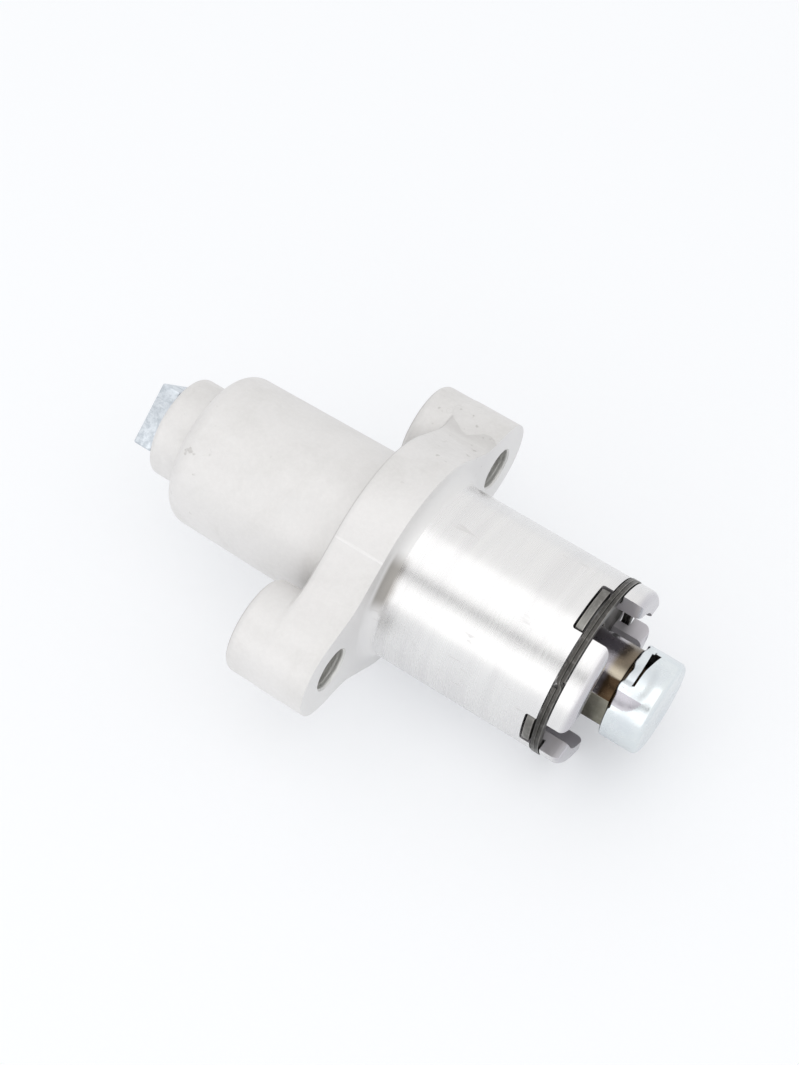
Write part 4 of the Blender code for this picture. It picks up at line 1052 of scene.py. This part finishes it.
@dataclass
class PlungerSet:
    """The plunger with its two flats, and the crimped cap on its nose. Sizes in mm."""

    radius: float = 6.1
    across_flats: float = 10.4
    chamfer: float = 0.4
    rear: float = -27.2
    front: float = 39.4
    groove_radius: float = 5.0
    cap_radius: float = 7.2
    cap_wall: float = 0.8
    cap_rim: float = 34.9
    cap_front: float = 40.8
    cap_edge: float = 0.9
    slit: float = 36.5
    slit_angle: float = 30.0
    strip_depth: float = 0.95
    dent_depth: float = 0.5

    def build_plunger(self) -> Object:
        """Builds the plunger."""
        r, c, deep = self.radius, self.chamfer, self.groove_radius
        low, high = self.cap_rim - 0.3, self.slit + 2.7
        line = rounded([
            (self.front, 0.0, 0), (self.front, r - c, 0), (self.front - c, r, 0), (high, r, 0), (high, deep, 0),
            (low, deep, 0), (low, r, 0), (self.rear + c, r, 0), (self.rear, r - c, 0), (self.rear, 4.3, 0),
            (16.5, 4.3, 0), (18.65, 0.0, 0),
        ], 4, 1.5)
        bar = revolve("plunger_dressed", line, 128)
        for side in (-1, 1):
            near, far = side * self.across_flats / 2, side * 9.0
            outline = [(self.rear - 1, near), (low + 2.5, near), (low + 2.5, far), (self.rear - 1, far)]
            carve(bar, prism("flat_tool", outline, -9.0, 9.0, "Z"))
        wear_finishes(bar, PHOSPHATE, FLAT)
        centre, normal = face_values(bar.data)
        flat = (np.abs(normal[:, 1]) > 0.999) & (np.abs(np.abs(centre[:, 1]) - self.across_flats / 2) < 0.01)
        bar.data.polygons.foreach_set("material_index", flat.astype(np.int32))
        round_edges(bar, 0.08, 1, 25.0)
        smooth_shade(bar)
        hand_over(bar, "plunger", Body.PLUNGER)
        return bar

    def depth(self, angle: Array, x: Array) -> Array:
        """How far the wall of the cap is pressed in.

        Args:
            angle: Angle from up towards -Y, in degrees.
            x: Place along the axis in millimetres.

        Returns:
            The depth in millimetres.
        """
        across = (angle - 18) / np.where(angle > 18, 43, 54)
        dent = self.dent_depth * ease((1 - np.hypot(across, (x - self.slit) / 3.1)) / 0.7)
        torn = ease((angle + 42) / 26)
        strip = self.strip_depth + 0.12 * ease((self.slit - x) / 1.6)
        whole = self.dent_depth * ease((1 - np.abs(across)) / 0.7)
        strip = torn * (strip + (whole - strip) * ease((angle - 20) / 8))
        return np.where(x <= self.slit, strip, dent)

    def build_cap(self) -> Object:
        """Builds the cup, presses its crimp in and cuts the slit."""
        inner = self.cap_radius - self.cap_wall
        line = rounded([
            (self.cap_front, 0.0, 0), (self.cap_front, self.cap_radius, self.cap_edge),
            (self.cap_rim, self.cap_radius, 0.18), (self.cap_rim, inner, 0.12),
            (self.cap_front - 1.1, inner, 0.2), (self.cap_front - 1.1, 0.0, 0),
        ], 7, 0.22)
        cup = revolve("plunger_cap_dressed", line, 240)
        mesh = cup.data
        points = np.empty(len(mesh.vertices) * 3, np.float32)
        mesh.vertices.foreach_get("co", points)
        points = points.reshape(-1, 3).astype(float)
        out = np.hypot(points[:, 1], points[:, 2])
        angle = np.degrees(np.arctan2(-points[:, 1], points[:, 2]))
        deep = self.depth(angle, points[:, 0] / MM) * MM * (out > inner * 0.9 * MM)
        share = (np.maximum(out, 1e-9) - deep) / np.maximum(out, 1e-9)
        points[:, 1] *= share
        points[:, 2] *= share
        near_rim = ease(1 - (points[:, 0] / MM - self.cap_rim) / 0.8) * (deep > 0)
        wave = 0.2 * np.sin(angle * 0.13 + 0.6) + 0.07 * np.sin(angle * 0.31 + 1.0)
        points[:, 0] += near_rim * wave * MM
        mesh.vertices.foreach_set("co", points.astype(np.float32).ravel())
        mesh.update()
        half = self.cap_radius * math.sin(math.radians(self.slit_angle))
        outline = [(self.slit + s * 0.2, -0.78 * half) for s in (-1, 1)]
        outline += [(self.slit + 0.3, 0.0), (self.slit + 0.95, half), (self.slit - 0.45, half), (self.slit - 0.2, 0.0)]
        carve(cup, prism("slit_tool", outline, 3.0, 9.0, "Z"))
        wear_finishes(cup, ZINC, SHEARED_AND_SHADED, DENT_SHADE)
        mesh = cup.data
        centre, normal = face_values(mesh)
        out = np.hypot(centre[:, 1], centre[:, 2])
        angle = np.degrees(np.arctan2(-centre[:, 1], centre[:, 2]))
        # The slit's cut faces and the cup's inner wall take the dark finish: bare steel on the cut, painted shade
        # inside.
        cut = (np.abs(centre[:, 0] - self.slit) < 1.3) & (np.abs(normal[:, 0]) > 0.6) & (centre[:, 2] > 3.0)
        inside = (centre[:, 1:] * normal[:, 1:]).sum(1) < -0.3 * out
        # Lower slope of the dent: painted shade.
        low = (angle > 38) & (angle < 64) & (self.depth(angle, centre[:, 0]) > 0.04) & (out > inner + 0.1) & ~inside
        low &= centre[:, 0] > self.slit - 1.6
        mesh.polygons.foreach_set("material_index", np.where(cut | inside, 1, np.where(low, 2, 0)).astype(np.int32))
        smooth_shade(cup, 38.0)
        hand_over(cup, "plunger_cap", Body.PLUNGER)
        return cup


@dataclass
class Plug:
    """The square-headed bolt in the rear boss. Sizes in mm."""

    head_front: float = -42.8
    head_height: float = 3.1
    head_width: float = 9.9
    head_turn: float = 42.0
    shank_radius: float = 3.0
    shank_length: float = 5.6
    edge: float = 0.3

    def build(self) -> Object:
        """Builds the head with rounded edges, and the shank with its thread."""
        half = self.head_width / 2
        turn = Matrix.Rotation(math.radians(self.head_turn), 2)
        square = [tuple(turn @ Vector(p)) for p in ((half, half), (-half, half), (-half, -half), (half, -half))]
        head = prism("plug_bolt_dressed", square, self.head_front - self.head_height, self.head_front, "X")
        round_edges(head, self.edge, 3)
        tip = self.head_front + self.shank_length
        line = [(self.head_front - 1.0, 0.0), (self.head_front - 1.0, self.shank_radius)]
        x = self.head_front + 0.9
        line.append((x, self.shank_radius))
        while x < tip - 1.2:
            line += [(x + 0.35, self.shank_radius - 0.5), (x + 0.65, self.shank_radius - 0.5), (x + 1.0, self.shank_radius)]
            x += 1.0
        line += [(tip - 0.5, self.shank_radius), (tip, self.shank_radius - 0.5), (tip, 0.0)]
        carve(head, revolve("shank_tool", line, 64), "UNION")
        wear_finishes(head, BOLT_ZINC)
        smooth_shade(head)
        hand_over(head, "plug_bolt", Body.HOUSING)
        return head


@dataclass
class HiddenSteel:
    """The hidden CAD nodes, which keep their shape and get a better finish."""

    finishes: dict[str, Finish] = field(default_factory=lambda: {
        "screw_shaft": GROUND, "torsion_spring": WIRE, "spacer_tube": GROUND,
        "thrust_seat": GROUND, "sealing_washer": SOFT,
    })

    def dress(self) -> None:
        """Gives each node its finish in its own material slots."""
        for name, finish in self.finishes.items():
            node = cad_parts[name]
            for slot in node.material_slots:
                slot.material = material_of(finish)
            LOG.info("%s: dressed as %s", name, finish.name)


@dataclass
class Studio:
    """The pale floor, the soft lamps, the backdrop and the camera. Places in mm."""

    rest_angle: float = 6.3
    floor_height: float = -17.4
    floor_colour: Colour = (0.655, 0.66, 0.665)
    floor_glow: Colour = (0.332, 0.339, 0.354)
    world_strength: float = 0.84
    eye: tuple[float, float, float] = (73.87, -160.78, 250.59)
    right: tuple[float, float, float] = (0.8323, 0.5462, 0.0949)
    down: tuple[float, float, float] = (0.4920, -0.6488, -0.5805)
    ahead: tuple[float, float, float] = (-0.2555, 0.5298, -0.8087)
    focal_pixels: float = 2125.0
    image_height: float = 1065.0
    lamps: tuple[tuple[str, float, float, float, float, float, float], ...] = (
        ("lamp_top", 14.0, 0.10, 0.72, 0.62, 1.2, 0.42),
        ("lamp_front", 72.0, 0.10, 0.72, 0.42, 1.2, 0.50),
    )

    def lay_floor(self) -> None:
        """Lays the floor, on which the tensioner rests with its flange and its front end."""
        size = 4000.0
        verts = [(-size, -size, 0), (size, -size, 0), (size, size, 0), (-size, size, 0)]
        mesh = bpy.data.meshes.new("floor")
        mesh.from_pydata([tuple(c * MM for c in v) for v in verts], [], [(0, 1, 2, 3)])
        floor = bpy.data.objects.new("floor", mesh)
        bpy.context.scene.collection.objects.link(floor)
        floor.location = (0, 0, self.floor_height * MM)
        floor.rotation_euler = (0, -math.radians(self.rest_angle), 0)
        material = bpy.data.materials.new("floor_paper")
        material.use_nodes = True
        graph = Graph(material.node_tree)
        shader = material.node_tree.nodes["Principled BSDF"]
        place = graph.node("TexCoord").outputs["Object"]
        tone = graph.blend(graph.noise(place, 30.0, 3.0), rgba(self.floor_colour),
                           rgba(tuple(c * 0.995 for c in self.floor_colour)))
        graph.feed(shader.inputs["Base Color"], tone)
        shader.inputs["Roughness"].default_value = 0.9
        shader.inputs["Specular IOR Level"].default_value = 0.1
        shader.inputs["Emission Color"].default_value = rgba(self.floor_glow)
        shiny = graph.node("LightPath").outputs["Is Glossy Ray"]
        graph.feed(shader.inputs["Emission Strength"], graph.math("MULTIPLY_ADD", shiny, -0.1, 1.0))
        mesh.materials.append(material)

    def light(self) -> None:
        """Hangs the lamps and sets the world, which is white where it is seen."""
        for name, angle, along, far, width, length, radiance in self.lamps:
            out = direction(angle, along)
            lamp = bpy.data.lights.new(name, "AREA")
            lamp.shape = "RECTANGLE"
            lamp.size, lamp.size_y = length, width
            lamp.energy = radiance * math.pi * width * length
            obj = bpy.data.objects.new(name, lamp)
            bpy.context.scene.collection.objects.link(obj)
            across = Vector((1, 0, 0)) - out * out.x
            across.normalize()
            obj.matrix_world = Matrix((across, out.cross(across), out)).transposed().to_4x4()
            obj.location = out * far
        world = bpy.data.worlds.new("studio_white")
        world.use_nodes = True
        bpy.context.scene.world = world
        graph = Graph(world.node_tree)
        path = graph.node("LightPath").outputs
        seen = graph.math("MAXIMUM", path["Is Camera Ray"], path["Is Glossy Ray"])
        seen = graph.math("MAXIMUM", seen, path["Is Transmission Ray"])
        strength = graph.math("MULTIPLY_ADD", seen, 1.0 - self.world_strength, self.world_strength)
        back = world.node_tree.nodes["Background"]
        back.inputs["Color"].default_value = (1.0, 1.0, 1.0, 1.0)
        graph.feed(back.inputs["Strength"], strength)

    def hang_flag(self) -> None:
        """Hangs the dark flag between the two softboxes, whose reflection draws a soft stripe."""
        out = direction(45.0, -0.2)
        across = (Vector((1, 0, 0)) - out * out.x).normalized()
        up = out.cross(across)
        centre = out * 620.0
        corners = [centre + across * (sx * 420.0) + up * (sy * 32.0) for sx, sy in ((-1, -1), (1, -1), (1, 1), (-1, 1))]
        mesh = bpy.data.meshes.new("flag")
        mesh.from_pydata([tuple(c * MM) for c in corners], [], [(0, 1, 2, 3)])
        flag = bpy.data.objects.new("flag", mesh)
        bpy.context.scene.collection.objects.link(flag)
        material = bpy.data.materials.new("flag_cloth")
        material.use_nodes = True
        material.node_tree.nodes["Principled BSDF"].inputs["Base Color"].default_value = (0.12, 0.12, 0.13, 1.0)
        mesh.materials.append(material)
        flag.visible_camera = False
        flag.visible_shadow = False
        flag.visible_diffuse = False

    def set_camera(self) -> None:
        """Puts the camera where the photo was taken from."""
        data = bpy.data.cameras.new("camera")
        data.sensor_width = 36.0
        data.sensor_fit = "AUTO"
        data.lens = self.focal_pixels / self.image_height * data.sensor_width
        data.clip_start = 0.01
        data.clip_end = 20.0
        camera = bpy.data.objects.new("camera", data)
        bpy.context.scene.collection.objects.link(camera)
        axes = Matrix((self.right, [-v for v in self.down], [-v for v in self.ahead])).transposed()
        camera.matrix_world = Matrix.Translation(Vector(self.eye) * MM) @ axes.to_4x4()
        bpy.context.scene.camera = camera

    def build(self) -> None:
        """Sets the whole studio up."""
        view = bpy.context.scene.view_settings
        view.view_transform = "Standard"
        self.lay_floor()
        self.light()
        self.hang_flag()
        self.set_camera()
        LOG.info("studio: floor, %d lamps, flag and camera", len(self.lamps))


def write_sizes() -> None:
    """Brings the scene's evaluated state up to date."""
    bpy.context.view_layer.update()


def main() -> None:
    """Builds the scene piece by piece."""
    logging.basicConfig(level=logging.INFO, format="%(message)s")
    Studio().build()
    Housing().build()
    front = FrontEnd()
    front.build_plate()
    front.build_ring()
    nose = PlungerSet()
    nose.build_plunger()
    nose.build_cap()
    Plug().build()
    HiddenSteel().dress()
    write_sizes()


if __name__ == "__main__":
    main()
